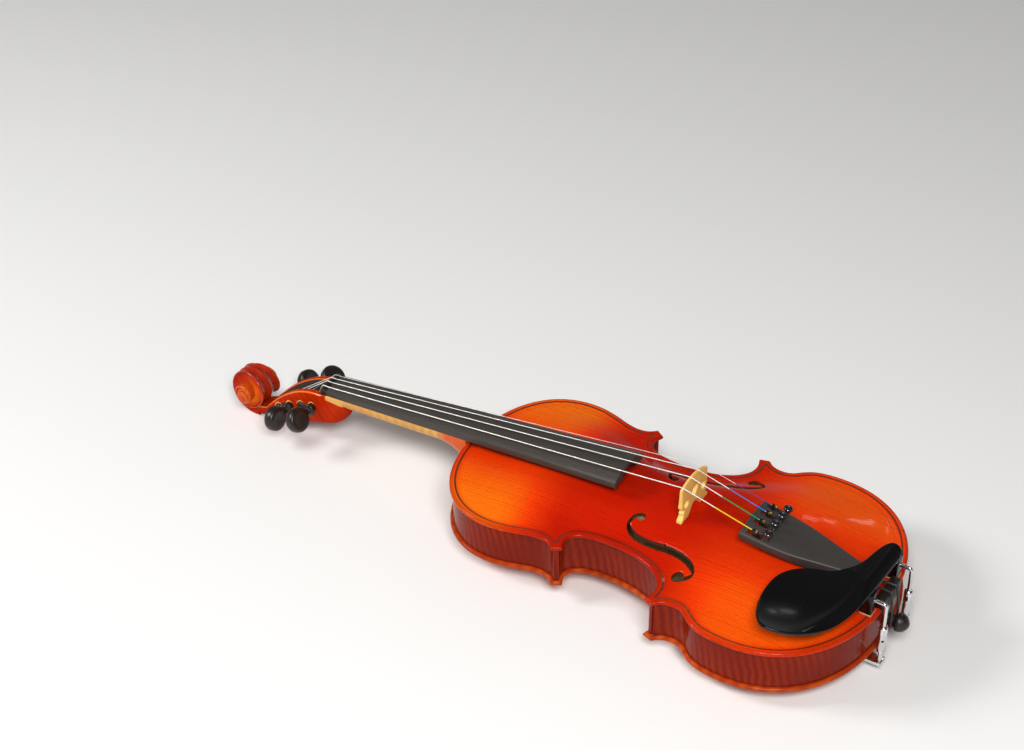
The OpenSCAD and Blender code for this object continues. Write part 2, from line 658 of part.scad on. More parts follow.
function wound_count(i) = i == 0 || i == 3 ? wound_turns : wound_turns - 1;
// The string leaves the top of its winding: angle of the line from the nut's back edge
nut_back = -neck_stop - nut_wall;
function leave_angle(i) =
  let (
    a = [nut_back, nut_z(i, -neck_stop) - 0.5], c = [peg_x(string_pegs[i]), peg_z(string_pegs[i])],
    d = a - c, reach = norm(d)
  )
  atan2(d[1], d[0]) + acos(wound_r(i) / reach);
function leave_at(i) =
  let (p = string_pegs[i], t = leave_angle(i)) [peg_x(p) + wound_r(i) * cos(t), wound_y(i),
    peg_z(p) + wound_r(i) * sin(t)];
function string_route(i) =
  let (
    r = string_dias[i] / 2,
    n0 = [nut_back - 0.2, nut_y(i), nut_z(i, -neck_stop) - 0.6],
    away = leave_at(i),
    d = (away - n0) / norm(away - n0),
    short = sqrt(pow(wound_r(i) + r, 2) - pow(wound_r(i), 2)) + 0.85
  )
  [
    away - short * d, n0, [nut_back + 1.2, nut_y(i), nut_z(i, -neck_stop) - 0.1], [-neck_stop, nut_y(i),
      nut_z(i, -neck_stop)],
    [bridge_at - 1, bridge_y(i), bridge_z(i)], [bridge_at + 0.6, bridge_y(i), bridge_z(i) - 0.05],
    string_tail(i)
  ];
// Tube along a route: one ring at each point, square to the mean direction
function unit(v) = v / norm(v);
function way(p, i) = unit((i < len(p) - 1 ? unit(p[i + 1] - p[i]) : [0, 0,
  0]) + (i > 0 ? unit(p[i] - p[i - 1]) : [0, 0, 0]));
module tube(p, r, sides, hint) {
  n = len(p);
  pts = [
    for (i = [0:n - 1])
      let (d = way(p, i), u = unit(cross(d, hint)), v = cross(u, d))
        for (a = [0:sides - 1]) p[i] + r * (cos(360 * a / sides) * u + sin(360 * a / sides) * v)
  ];
  faces = concat(
    [for (i = [0:n - 2]) for (j = [0:sides - 1]) for (h = [0, 1])
      let (a = i * sides + j, b = i * sides + (j + 1) % sides)
        h == 0 ? [a, b, b + sides] : [a, b + sides, a + sides]],
    [for (j = [1:sides - 2]) [0, j + 1, j]],
    [for (j = [1:sides - 2]) [(n - 1) * sides, (n - 1) * sides + j, (n - 1) * sides + j + 1]]
  );
  polyhedron(pts, faces, convexity = 8);
}
module string_of(i) {
  color("#d8d8d4") tube(string_route(i), string_dias[i] / 2, 8, [0, 1, 0.02]);
}
function wound_point(i, a) =
  let (p = string_pegs[i], t = leave_angle(i) + a)
  [peg_x(p) + wound_r(i) * cos(t), wound_y(i) + wound_side(i) * wound_step(i) * a / 360,
  peg_z(p) + wound_r(i) * sin(t)];
function wound_route(i) = [for (k = [0:24 * wound_count(i)]) wound_point(i, 15 * k)];
module wound(i) {
  color("#cfcfcb") tube(wound_route(i), string_dias[i] / 2, 6, [0, 1, 0]);
}
function wound_gap(i) =
  let (p = wound_route(i), n = len(p))
  min([for (a = [0:n - 1]) for (b = [a + 12:1:n - 1]) norm(p[a] - p[b])]) - string_dias[i];
echo(least_gap_between_turns = [for (i = [0:3]) wound_gap(i)]);

// Rest of the whole violin on a flat surface: it touches with the back's arch and the scroll
function low_back(a) = min([for (x = [100:2:280]) -x * sin(a) + back_out(x, 0) * cos(a)]);
function low_head(a) =
  min([for (k = [0:3:120]) let (p = turn_at(k, turn_r(k))) -p[0] * sin(a) + p[1] * cos(a)]);
function rest_angle(a, b, n) =
  let (m = (a + b) / 2) n == 0 ? m : low_head(m) < low_back(m) ? rest_angle(m, b, n - 1) : rest_angle(a,
    m, n - 1);
tilt = rest_angle(-6, 8, 30);
button_end = body_length + 16;
function turned_x(x, z) = x * cos(tilt) + z * sin(tilt);
middle = (turned_x(button_end, -plate_edge - rib_height / 2) + min([for (k = [60:5:160])
  let (p = turn_at(k, turn_r(k))) turned_x(p[0], p[1])])) / 2;
module placed() {
  translate([-middle, 0, -low_back(tilt)]) rotate([0, tilt, 0]) children();
}

// Plates
module neck_notch() {
  heel_root(glue_gap, -3, neck_mortise + glue_gap);
}
saddle_from = body_length - 7;
saddle_to = body_length + 1;
module saddle_notch() {
  translate([saddle_from - glue_gap, -saddle_length / 2 - glue_gap, -plate_edge - 1])
    cube([20, saddle_length + 2 * glue_gap, plate_edge + 3]);
}
module top_plate() {
  color("#c8501a") {
    difference() {
      shell([-sink, top_arch], [-plate_edge + sink, top_arch + plate_edge - plate_wall]);
      sound_hole();
      mirror([0, 1, 0]) sound_hole();
      purfling(-purfling_depth - glue_gap, purfling_depth + 2, glue_gap / 2);
    }
    difference() {
      border(-plate_edge, plate_edge);
      purfling(-purfling_depth - glue_gap, purfling_depth + 2, glue_gap / 2);
      neck_notch();
      saddle_notch();
    }
  }
}
button_r = 10.8;
module back_plate() {
  color("#b8461a") {
    difference() {
      shell([rib_low - sink, -(back_arch + plate_edge - plate_wall)], [back_edge + sink, -back_arch]);
      purfling(back_edge - 2, purfling_depth + glue_gap + 2, glue_gap / 2);
    }
    difference() {
      union() {
        border(back_edge, plate_edge);
        translate([-3.5, 0, back_edge]) cylinder(r = button_r, h = plate_edge);
      }
      translate([0, 0, back_edge - 1]) linear_extrude(plate_edge + 2) polygon(arch_hole);
      purfling(back_edge - 2, purfling_depth + glue_gap + 2, glue_gap / 2);
    }
  }
}
module top_purfling() {
  color("#2a1510") difference() {
    purfling(-purfling_depth, purfling_depth, -glue_gap / 2);
    neck_notch();
    saddle_notch();
  }
}
module back_purfling() {
  color("#2a1510") purfling(back_edge, purfling_depth, -glue_gap / 2);
}

// Ribs, linings and blocks
rib_out = edge_overhang;
rib_in = edge_overhang + rib_wall;
function strip(r, a, b) = concat(inset(r, a), [for (i = [len(r) - 1:-1:0]) r[i][0] + b * r[i][1]]);
module wall_sheet(pts, z, tall, bass) {
  translate([0, 0, z]) mirror([0, bass ? 1 : 0, 0]) linear_extrude(tall) polygon(pts);
}
button_z = -plate_edge - rib_height / 2;
module button_hole(clear) {
  translate([body_length - 40, 0, button_z]) rotate([0, 90, 0])
    cylinder(d = button_shank + 2 * clear, h = 60);
}
seam = 0.02;
module rib_upper(bass) {
  color("#b04a1c") difference() {
    wall_sheet(strip(cut(upper_run, 1, 1), rib_out, rib_in), rib_low, rib_height, bass);
    neck_notch();
  }
}
module rib_waist(bass) {
  color("#b04a1c") wall_sheet(strip(cut(waist_run, 1, 1), rib_out, rib_in), rib_low, rib_height, bass);
}
module rib_lower(bass) {
  color("#b04a1c") difference() {
    wall_sheet(strip(cut(lower_run, 1, 0), rib_out, rib_in), rib_low, rib_height, bass);
    translate([0, bass ? -seam : seam - 30, rib_low - 1]) cube([600, 30, rib_height + 2]);
    button_hole(glue_gap);
  }
}
block_in = rib_in + glue_gap;
function upper_corner(d) = concat(
  inset(cut(upper_run, len(upper_run) - 10, 1), d),
  inset(cut(waist_run, 1, len(waist_run) - 7), d));
function lower_corner(d) = concat(
  inset(cut(waist_run, len(waist_run) - 8, 1), d),
  inset(cut(lower_run, 1, len(lower_run) - 8), d));
// A block's inner face, moved into the body by a gap
function face_past(pts, gap) =
  let (a = pts[0], b = pts[len(pts) - 1], u = (b - a) / norm(b - a), n = [u[1], -u[0]])
  [b + gap * (u + n), a + gap * (n - u)];
module corner_shapes(z, tall, gap) {
  for (s = [0, 1]) {
    wall_sheet(concat(upper_corner(block_in - gap), gap > 0 ? face_past(upper_corner(block_in),
      gap) : []),
      z, tall, s == 1);
    wall_sheet(concat(lower_corner(block_in - gap), gap > 0 ? face_past(lower_corner(block_in),
      gap) : []),
      z, tall, s == 1);
  }
}
module inside(z, tall, d) {
  translate([0, 0, z]) linear_extrude(tall) polygon(inner_outline(d));
}
module neck_block_shape(grow) {
  translate([-5, -block_width / 2 - grow, rib_low - grow])
    cube([block_depth + rib_in + 5 + grow, block_width + 2 * grow, rib_height + 2 * grow]);
}
module end_block_shape(grow) {
  translate([body_length - rib_in - block_depth - grow, -block_width / 2 - grow, rib_low - grow])
    cube([block_depth + 40, block_width + 2 * grow, rib_height + 2 * grow]);
}
module neck_block() {
  color("#d8b07a") difference() {
    intersection() {
      inside(rib_low, rib_height, block_in);
      neck_block_shape(0);
    }
    neck_notch();
  }
}
module end_block() {
  color("#d8b07a") difference() {
    intersection() {
      inside(rib_low, rib_height, block_in);
      end_block_shape(0);
    }
    button_hole(glue_gap);
  }
}
module corner_blocks() {
  color("#d8b07a") corner_shapes(rib_low, rib_height, 0);
}
module linings(z) {
  difference() {
    inside(z, lining_height, block_in);
    translate([0, 0, z - 1]) linear_extrude(lining_height + 2)
      polygon(inner_outline(block_in + lining_wall));
    corner_shapes(z - 1, lining_height + 2, 0.5);
    neck_block_shape(0.5);
    end_block_shape(0.5);
  }
}
module linings_top() {
  color("#e0bd8a") linings(-plate_edge - lining_height);
}
module linings_back() {
  color("#e0bd8a") linings(rib_low);
}
bar_y = -bridge_y(3) + 1;
module bass_bar() {
  a = bridge_at - 5 - bar_length / 2;
  stations = [for (i = [0:30]) a + bar_length * i / 30];
  function under(x) = min(top_in(x, bar_y - bar_wall / 2), top_in(x, bar_y + bar_wall / 2)) - glue_gap;
  color("#e6c894") side_sheet(concat(
    [for (x = stations) [x, under(x)]],
    [for (i = [30:-1:0]) [stations[i], under(stations[i]) - 3 - (bar_depth - 3) * sin(180 * i / 30)]]
  ), bar_y - bar_wall / 2, bar_y + bar_wall / 2);
}
post_y = bridge_y(3);
post_x = bridge_at + 6;
module sound_post() {
  r = post_dia / 2;
  hi = min([for (a = [0:45:315]) top_in(post_x + r * cos(a), post_y + r * sin(a))]) - glue_gap;
  lo = max([for (a = [0:45:315]) back_in(post_x + r * cos(a), post_y + r * sin(a))]) + glue_gap;
  color("#ead0a0") translate([post_x, post_y, lo]) cylinder(d = post_dia, h = hi - lo);
}

// Neck group
module neck() {
  color("#c66a2a") difference() {
    union() {
      neck_shaft();
      heel_root(0, -1.2, neck_mortise);
      pegbox();
      scroll();
    }
    peg_hollow();
    peg_holes();
  }
}
module fingerboard() {
  color("#26221f") difference() {
    intersection() {
      translate([0, 0, -60]) linear_extrude(160) polygon([
        [-neck_stop, -board_width_nut / 2], [board_end, -board_width_end / 2],
        [board_end, board_width_end / 2], [-neck_stop, board_width_nut / 2]
      ]);
      translate([-neck_stop, 0, board_top_nut]) rotate([0, 90 - board_tilt, 0])
        translate([board_round / cos(board_tilt), 0, -40])
        cylinder(r = board_round, h = board_length + 90, $fn = 96);
      translate([-neck_stop, 0, under_nut + glue_gap]) rotate([0, -under_tilt, 0])
        translate([-20, -40, 0]) cube([board_length + 60, 80, 60]);
    }
    translate([neck_mortise + 14, 0, board_under(neck_mortise + 14) - 3])
      rotate([0, 90 - under_tilt, 0]) cylinder(r = 11, h = board_length);
  }
}
module grooves(list_x0, list_x1, at_bridge) {
  for (i = [0:3]) {
    a = at_bridge ? [list_x0, bridge_y(i), bridge_z(i)] : [list_x0, nut_y(i), nut_z(i, -neck_stop)];
    translate(a) rotate([0, 90, 0]) cylinder(d = string_dias[i] + 0.08, h = list_x1 - list_x0,
      $fn = 24);
    translate(a) translate([0, -string_dias[i] / 2 - 0.04, 0])
      cube([list_x1 - list_x0, string_dias[i] + 0.08, 4]);
  }
}
module nut() {
  top_r = board_round + 1;
  color("#171412") difference() {
    intersection() {
      translate([-neck_stop - nut_wall, -board_width_nut / 2, -60])
        cube([nut_wall - glue_gap, board_width_nut, 90]);
      translate([-neck_stop - nut_wall - 5, 0, board_top(-neck_stop) - board_round]) rotate([0, 90, 0])
        cylinder(r = top_r, h = 30, $fn = 96);
      translate([-neck_stop, 0, under_nut + glue_gap]) rotate([0, -under_tilt, 0])
        translate([-20, -40, 0]) cube([60, 80, 60]);
    }
    grooves(-neck_stop - nut_wall - 1, -neck_stop + 1, false);
    for (i = [0:3])
      translate([nut_back - 1, nut_y(i) - string_dias[i] / 2 - 0.06, nut_z(i, -neck_stop) - 1.3])
      cube([2.6, string_dias[i] + 0.12, 4]);
  }
}

// Bridge
foot_gap = 0.12;
module bridge() {
  h = bridge_width / 2;
  foot = 11.5;
  function lift(y) = max(top_out(bridge_at - bridge_wall_foot / 2, y),
    top_out(bridge_at + bridge_wall_foot / 2, y)) + foot_gap;
  crown = [for (i = [-8:8]) let (y = (string_spread / 2 + 2.6) * i / 8) [y, curve_z(y) - 0.1]];
  edge = curve_z(string_spread / 2 + 2.6);
  right = [
    [h - 1.2, 27], [h - 0.6, 24.5], [h - 2.6, 23], [h - 4.4, 21], [h - 2, 19.5], [h - 3.4, 17.6],
    [h - 1.4, 15.5], [h, 13.2]
  ];
  arch_way = [
    [h - foot, 12.6], [h - foot - 1.6, 15], [h - foot - 4, 17.4], [3, 19], [0, 19.4]
  ];
  legs_low = [for (i = [0:4]) let (y = h - foot * i / 4) [y, lift(y)]];
  side = concat(right, legs_low, arch_way);
  pts = concat(crown, side, [for (i = [len(side) - 2:-1:0]) [-side[i][0], side[i][1]]]);
  color("#e2c48a") difference() {
    intersection() {
      translate([bridge_at - 6, 0, 0]) rotate([90, 0, 90]) linear_extrude(12) polygon(pts);
      side_sheet([
        [bridge_at - bridge_wall_foot / 2, -5], [bridge_at - bridge_wall_foot / 2, 14],
        [bridge_at - bridge_wall_top / 2, string_height + 3],
        [bridge_at + bridge_wall_top / 2, string_height + 3], [bridge_at + bridge_wall_foot / 2, 14],
        [bridge_at + bridge_wall_foot / 2, -5]
      ], -40, 40);
    }
    grooves(bridge_at - 5, bridge_at + 5, true);
    // Heart in the middle
    for (s = [-1, 1]) translate([bridge_at - 6, s * 2.3, 31.4]) rotate([0, 90, 0])
      cylinder(d = 4.8, h = 12);
    translate([bridge_at - 6, 0, 0]) rotate([90, 0, 90]) linear_extrude(12)
      polygon([[-4.5, 30.6], [0, 25], [4.5, 30.6], [0, 33]]);
    // Kidneys at the sides
    for (s = [-1, 1]) {
      translate([bridge_at - 6, s * 13.2, 25.4]) rotate([0, 90, 0]) cylinder(d = 6.6, h = 12);
      translate([bridge_at - 6, s * 13.2 - 1, 22.2]) cube([12, 2, 5]);
      translate([bridge_at - 6, s * 13 + (s > 0 ? 0 : -8), 23.6]) cube([12, 8, 2]);
    }
  }
}

// Tailpiece and its tuners, drawn in the tailpiece's own frame
module tail_frame() {
  translate([tail_front, 0, tail_high]) rotate([0, tail_slope, 0]) children();
}
function tail_plan(g) = [
  [g, tail_width / 2 - g], [20, tail_width / 2 - 0.7 - g], [40, tail_width / 2 - 2.8 - g],
  [0.62 * tail_length, 12.9 - g],
  [0.82 * tail_length, tail_width_end / 2 + 1.6 - g], [tail_length - g, tail_width_end / 2 - g]
];
module tail_prism(g, z, tall) {
  p = tail_plan(g);
  translate([0, 0, z]) linear_extrude(tall) polygon(concat(p, flip(p)));
}
function tail_half(x) = lookup(x, [for (q = tail_plan(0)) q]);
pivot_z = -5.9;
slot_to = hook_at + 8.6;
cord_y = 3.6;
cord_z = -5.4;
cord_clear = 0.08;
module tailpiece() {
  hollow_to = 50;
  color("#2b2b2c") tail_frame() difference() {
    intersection() {
      tail_prism(0, -tail_depth, tail_depth + 2);
      translate([-5, 0, -tail_round]) rotate([0, 90, 0])
        cylinder(r = tail_round, h = tail_length + 10, $fn = 96);
    }
    intersection() {
      tail_prism(2.3, -tail_depth - 1, tail_depth + 3);
      translate([-5, 0, -tail_round]) rotate([0, 90, 0])
        cylinder(r = tail_round - tail_wall, h = hollow_to + 5, $fn = 96);
    }
    for (i = [0:3]) {
      translate([hook_at - 1.2, tuner_y(i) - lever_width / 2 - 0.4, -tail_depth])
        cube([slot_to - hook_at + 1.2, lever_width + 0.8, 20]);
      translate([screw_at, tuner_y(i), -tail_depth]) cylinder(d = screw_dia + 0.12, h = 20);
    }
    translate([pivot_at, 40, pivot_z]) rotate([90, 0, 0]) cylinder(d = pivot_dia + 0.1, h = 80);
    for (s = [-1, 1]) translate([tail_length - 9, s * cord_y, cord_z]) rotate([0, 90, 0])
      cylinder(d = cord_dia + 2 * cord_clear, h = 20);
  }
}
module tuner_pin() {
  reach = tail_half(pivot_at) - 0.3;
  color("#8c8c8c") tail_frame() translate([pivot_at, reach, pivot_z]) rotate([90, 0, 0])
    cylinder(d = pivot_dia, h = 2 * reach);
}
screw_travel = 2;
screw_tip = -4.7;
module tuner_lever(i) {
  y = tuner_y(i);
  top = tail_out(y) + hook_over;
  tip = screw_tip + tail_out(y) * 0.35;
  color("#9a9a98") tail_frame() {
    difference() {
      side_sheet([
        [hook_at, top + 1.2], [hook_at + 1.7, top + 1.2], [hook_at + 2, top - 1.2],
        [pivot_at + 0.6, pivot_z + 2], [pivot_at + 3.2, tip - 0.3], [screw_at + 1.6, tip - 0.3],
        [screw_at + 1.6, tip - 1.7], [pivot_at + 1, pivot_z - 1.7], [pivot_at - 1, pivot_z - 1.7],
        [pivot_at - 1.9, pivot_z], [hook_at + 0.3, top - 2]
      ], y - lever_width / 2, y + lever_width / 2);
      translate([pivot_at, y + 10, pivot_z]) rotate([90, 0, 0]) cylinder(d = pivot_dia + 0.1, h = 20);
      translate([hook_at - 1, y - 0.55, top - 0.7]) cube([4, 1.1, 4]);
    }
    translate([hook_at + 3.2, y - 1.1, top - 0.1]) rotate([-90, 0, 0]) cylinder(d = 2.6, h = 2.2);
  }
}
module tuner_screw(i) {
  y = tuner_y(i);
  tip = screw_tip + tail_out(y) * 0.35;
  color("#b8b8b8") tail_frame() translate([screw_at, y, tip])
    cylinder(d = screw_dia, h = knob_from(i) - tip);
}
function knob_from(i) = tail_out(tuner_y(i)) + screw_travel + 0.9;
module tuner_knob(i) {
  r = knob_dia / 2;
  color("#3a3a3c") tail_frame() translate([screw_at, tuner_y(i), knob_from(i) + 0.02]) rotate_extrude()
    polygon([
    [0, 0], [r - 1.2, 0], [r - 0.2, 0.9], [r, 1.9], [r - 0.1, 3], [r - 0.7, 4.2], [r - 1.8, 5.1],
    [0, 5.5]
  ]);
}
// Tail cord: out of the tailpiece, over the saddle and round the end button's neck
cord_x = body_length + 4.2;
neck_r = 4.6;
function cord_half(s) =
  let (a = tail_point([tail_length - 7, 0, cord_z]), b = tail_point([tail_length + 0.6, 0, cord_z]),
    r = cord_dia / 2)
  [
    [a[0], s * cord_y, a[2]], [b[0], s * cord_y, b[2]], [saddle_from + 1.6, s * 3.9,
    saddle_high + r + 0.1], [saddle_to - 1.6, s * 4.3, saddle_high + r + 0.05],
    [saddle_to + 0.4 * r, s * 4.6, saddle_high + 0.5 * r], [saddle_to + r + 0.15, s * 4.9,
    saddle_high - 1.8],
    [cord_x, s * (neck_r + r + 0.1), button_z + 8]
  ];
function cord_route() =
  let (b = cord_half(1), t = cord_half(-1), r = neck_r + cord_dia / 2 + 0.1)
  concat(
    b,
    [for (a = [0:22.5:180]) [cord_x, r * cos(a), button_z - r * sin(a)]],
    [for (i = [len(t) - 1:-1:0]) t[i]]
  );
module tail_cord() {
  color("#1d1d1e") tube(cord_route(), cord_dia / 2, 8, [1, 0, 0.35]);
}
module saddle() {
  color("#171412") side_sheet([
    [saddle_from, -plate_edge], [saddle_from, saddle_high - 2], [saddle_from + 1.4, saddle_high],
    [saddle_to - 1.4, saddle_high],
    [saddle_to - 0.4, saddle_high - 0.5], [saddle_to, saddle_high - 2], [saddle_to, -plate_edge]
  ], -saddle_length / 2, saddle_length / 2);
}
module end_button() {
  r = button_shank / 2;
  hr = button_dia / 2;
  wall_x = body_length - rib_out + glue_gap;
  color("#171412") translate([0, 0, button_z]) rotate([0, 90, 0]) rotate_extrude() polygon([
    [0, body_length - rib_in - block_depth], [r - 0.4, body_length - rib_in - block_depth],
    [r, body_length - rib_in - block_depth + 0.6], [r, wall_x], [6.4, wall_x], [6.4, wall_x + 1.6],
    [neck_r + 0.4, wall_x + 2.2], [neck_r, wall_x + 3], [neck_r, body_length + 6],
    [hr - 1, body_length + 6.6], [hr, body_length + 8],
    [hr, body_length + 10], [hr - 1.4, body_length + 13], [hr - 4, body_length + 15.2],
    [2.2, body_length + 15.4], [1.8, button_end], [0, button_end]
  ]);
}

// Chin rest over the tailpiece's end, with its clamp
rest_mid = [body_length - 43, -57];
rest_edge = [
  for (q = concat(
    [for (i = [0:7]) bez([[57, -97], [68, -90], [75, -66], [73, -48]], i / 7)],
    [for (i = [1:7]) bez([[73, -48], [71, -32], [59, -23], [43, -20]], i / 7)],
    [for (i = [1:6]) bez([[43, -20], [31, -17.5], [26, -8], [23, 3]], i / 6)],
    [for (i = [1:5]) bez([[23, 3], [21, 14], [19, 28], [12, 28]], i / 5)],
    [for (i = [1:4]) bez([[12, 28], [6, 28], [4, 25], [4, 20]], i / 4)],
    [for (i = [1:6]) bez([[4, 20], [5, 4], [5, -10], [6, -24]], i / 6)],
    [for (i = [1:8]) bez([[6, -24], [9, -58], [29, -96], [57, -97]], i / 8 * 0.985)]
  )) [body_length - q[0], q[1]]
];
foot_from = body_length - 13;
foot_to = body_length - 4;
cork_low = 0.5;
leg_low = cork_low + cork_wall;
arm_z = rest_high - 12;
clamp_x = body_length + 5;
module chin_rest() {
  color("#121212") difference() {
    union() {
      intersection() {
        translate([0, 0, -10]) linear_extrude(rest_high + 10) polygon(rest_edge);
        union() {
          translate([body_length - lower_bout, -lower_bout, rest_high - rest_wall])
            cube([2 * lower_bout, 2 * lower_bout, rest_wall]);
          intersection() {
            translate([rest_mid[0], rest_mid[1], rest_high - rest_deep + rest_hollow])
              sphere(r = rest_hollow + bowl_wall, $fn = 96);
            translate([body_length - lower_bout, -lower_bout, 0])
              cube([2 * lower_bout, 2 * lower_bout, rest_high]);
          }
        }
      }
      for (s = [-1, 1]) translate([foot_from, s * clamp_out - 5, leg_low])
        cube([foot_to - foot_from, 10, rest_high - rest_wall - leg_low + 1]);
    }
    translate([rest_mid[0], rest_mid[1], rest_high - rest_deep + rest_hollow])
      sphere(r = rest_hollow, $fn = 96);
    for (s = [-1, 1]) translate([foot_from + 3, s * clamp_out, arm_z]) rotate([0, 90, 0])
      cylinder(d = rod_dia + 2 * glue_gap, h = 40);
  }
}
module chin_rest_cork() {
  color("#b98a5a") for (s = [-1, 1])
    translate([foot_from, s * clamp_out - 5, cork_low])
      cube([foot_to - foot_from, 10, cork_wall - glue_gap]);
}
barrel_mid = button_z;
thread_in = 7;
module clamp_arms() {
  top = barrel_mid + barrel_length / 2;
  color("#c9ccd0") for (s = [-1, 1]) {
    translate([foot_from + 3 + glue_gap, s * clamp_out, arm_z]) rotate([0, 90, 0])
      cylinder(d = rod_dia, h = clamp_x - foot_from - 3 - glue_gap);
    translate([clamp_x, s * clamp_out, arm_z]) sphere(d = rod_dia);
    translate([clamp_x, s * clamp_out, top - thread_in])
      cylinder(d = rod_dia, h = arm_z - top + thread_in);
  }
}
thread_gap = 0.06;
key_hole = 2;
key_turn = 30;
module clamp_barrel(s) {
  low = barrel_mid - barrel_length / 2;
  color("#c9ccd0") difference() {
    translate([clamp_x, s * clamp_out, low]) rotate_extrude() polygon([
      [0, 0], [barrel_dia / 2 - 0.8, 0], [barrel_dia / 2, 0.8], [barrel_dia / 2, barrel_length - 0.8],
      [barrel_dia / 2 - 0.8, barrel_length], [0, barrel_length]
    ]);
    translate([clamp_x, s * clamp_out, low - 1])
      cylinder(d = rod_dia + 2 * thread_gap, h = barrel_length + 2);
    translate([clamp_x, s * clamp_out, barrel_mid])
      rotate([0, 0, -s * key_turn])
        rotate([90, 0, 0]) cylinder(d = key_hole, h = 20, center = true);
  }
}
foot_cork_top = back_edge - 0.3;
foot_bar_top = foot_cork_top - cork_wall;
foot_bar_wall = 2.4;
module clamp_foot() {
  low = barrel_mid - barrel_length / 2;
  color("#c9ccd0") {
    for (s = [-1, 1]) translate([clamp_x, s * clamp_out, foot_bar_top - foot_bar_wall])
      cylinder(d = rod_dia, h = low + thread_in - foot_bar_top + foot_bar_wall);
    difference() {
      translate([foot_from, -clamp_out - 4, foot_bar_top - foot_bar_wall])
        cube([clamp_x + 2.4 - foot_from, 2 * clamp_out + 8, foot_bar_wall]);
      translate([foot_to, -clamp_out + 5, foot_bar_top - foot_bar_wall - 1])
        cube([40, 2 * clamp_out - 10, 10]);
    }
  }
}
module clamp_foot_cork() {
  color("#b98a5a") translate([foot_from, -clamp_out - 4, foot_bar_top + glue_gap])
    cube([foot_to - foot_from, 2 * clamp_out + 8, cork_wall - glue_gap]);
}

placed() top_plate();
placed() back_plate();
placed() top_purfling();
placed() back_purfling();
placed() rib_upper(true);  // rib_upper_bass
placed() rib_upper(false);  // rib_upper_treble
placed() rib_waist(true);  // rib_waist_bass
placed() rib_waist(false);  // rib_waist_treble
placed() rib_lower(true);  // rib_lower_bass
placed() rib_lower(false);  // rib_lower_treble
placed() linings_top();
placed() linings_back();
placed() neck_block();
placed() end_block();
placed() corner_blocks();
placed() bass_bar();
placed() sound_post();
placed() neck();
placed() fingerboard();
placed() nut();
placed() saddle();
placed() bridge();
placed() peg(0, true, peg_g_turn);  // peg_g
placed() peg(2, true, peg_d_turn);  // peg_d
placed() peg(3, false, peg_a_turn);  // peg_a
placed() peg(1, false, peg_e_turn);  // peg_e
placed() wound(0);  // wound_g
placed() wound(1);  // wound_d
placed() wound(2);  // wound_a
placed() wound(3);  // wound_e
placed() string_of(0);  // string_g
placed() string_of(1);  // string_d
placed() string_of(2);  // string_a
placed() string_of(3);  // string_e
placed() tailpiece();
placed() tail_cord();
placed() tuner_pin();
placed() tuner_lever(0);  // tuner_lever_g
placed() tuner_lever(1);  // tuner_lever_d
placed() tuner_lever(2);  // tuner_lever_a
placed() tuner_lever(3);  // tuner_lever_e
placed() tuner_screw(0);  // tuner_screw_g
placed() tuner_screw(1);  // tuner_screw_d
placed() tuner_screw(2);  // tuner_screw_a
placed() tuner_screw(3);  // tuner_screw_e
placed() tuner_knob(0);  // tuner_knob_g
placed() tuner_knob(1);  // tuner_knob_d
placed() tuner_knob(2);  // tuner_knob_a
placed() tuner_knob(3);  // tuner_knob_e
placed() end_button();
placed() chin_rest();
placed() chin_rest_cork();
placed() clamp_arms();
placed() clamp_barrel(-1);  // clamp_barrel_bass
placed() clamp_barrel(1);  // clamp_barrel_treble
placed() clamp_foot();
placed() clamp_foot_cork();
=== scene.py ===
import json
import math

import bmesh
import bpy
import numpy as np
from mathutils import Matrix, Vector
from mathutils.geometry import delaunay_2d_cdt


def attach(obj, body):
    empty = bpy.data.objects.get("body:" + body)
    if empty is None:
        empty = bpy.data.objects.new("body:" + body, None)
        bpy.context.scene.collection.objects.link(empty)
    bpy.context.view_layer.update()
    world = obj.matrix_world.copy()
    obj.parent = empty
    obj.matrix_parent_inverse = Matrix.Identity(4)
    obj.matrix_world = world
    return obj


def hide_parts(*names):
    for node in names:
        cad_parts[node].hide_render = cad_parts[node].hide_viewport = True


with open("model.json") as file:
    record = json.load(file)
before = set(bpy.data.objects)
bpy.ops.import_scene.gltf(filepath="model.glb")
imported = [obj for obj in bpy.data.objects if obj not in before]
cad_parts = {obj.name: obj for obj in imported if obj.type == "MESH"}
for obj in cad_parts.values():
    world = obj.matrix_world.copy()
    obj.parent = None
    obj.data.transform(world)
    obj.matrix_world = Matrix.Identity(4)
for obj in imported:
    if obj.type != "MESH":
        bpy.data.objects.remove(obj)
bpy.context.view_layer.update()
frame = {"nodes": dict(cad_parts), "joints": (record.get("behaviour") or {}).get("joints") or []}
strings = ["g", "d", "a", "e"]

# The drawing's frame in mm: x from neck edge to tail, y to the treble side, z up from the top's edge
clampJoint = next(j for j in frame["joints"] if j["name"] == "clamp_turn_bass")
clampSpot = (360.0, -22.0, -19.5)  # where the drawing has that joint
leanC, leanS = clampJoint["axis"][2], clampJoint["axis"][0]
shiftX = clampJoint["pos_m"][0] - (clampSpot[0] * leanC + clampSpot[2] * leanS) / 1000
shiftZ = clampJoint["pos_m"][2] - (clampSpot[2] * leanC - clampSpot[0] * leanS) / 1000


def lean(v):  # turns a direction of the drawing into the shared frame
    return Vector((v[0] * leanC + v[2] * leanS, v[1], v[2] * leanC - v[0] * leanS))


def place(p):  # brings a point of the drawing into the shared frame, in metres
    return lean(p) / 1000 + Vector((shiftX, 0, shiftZ))


# Camera and lights

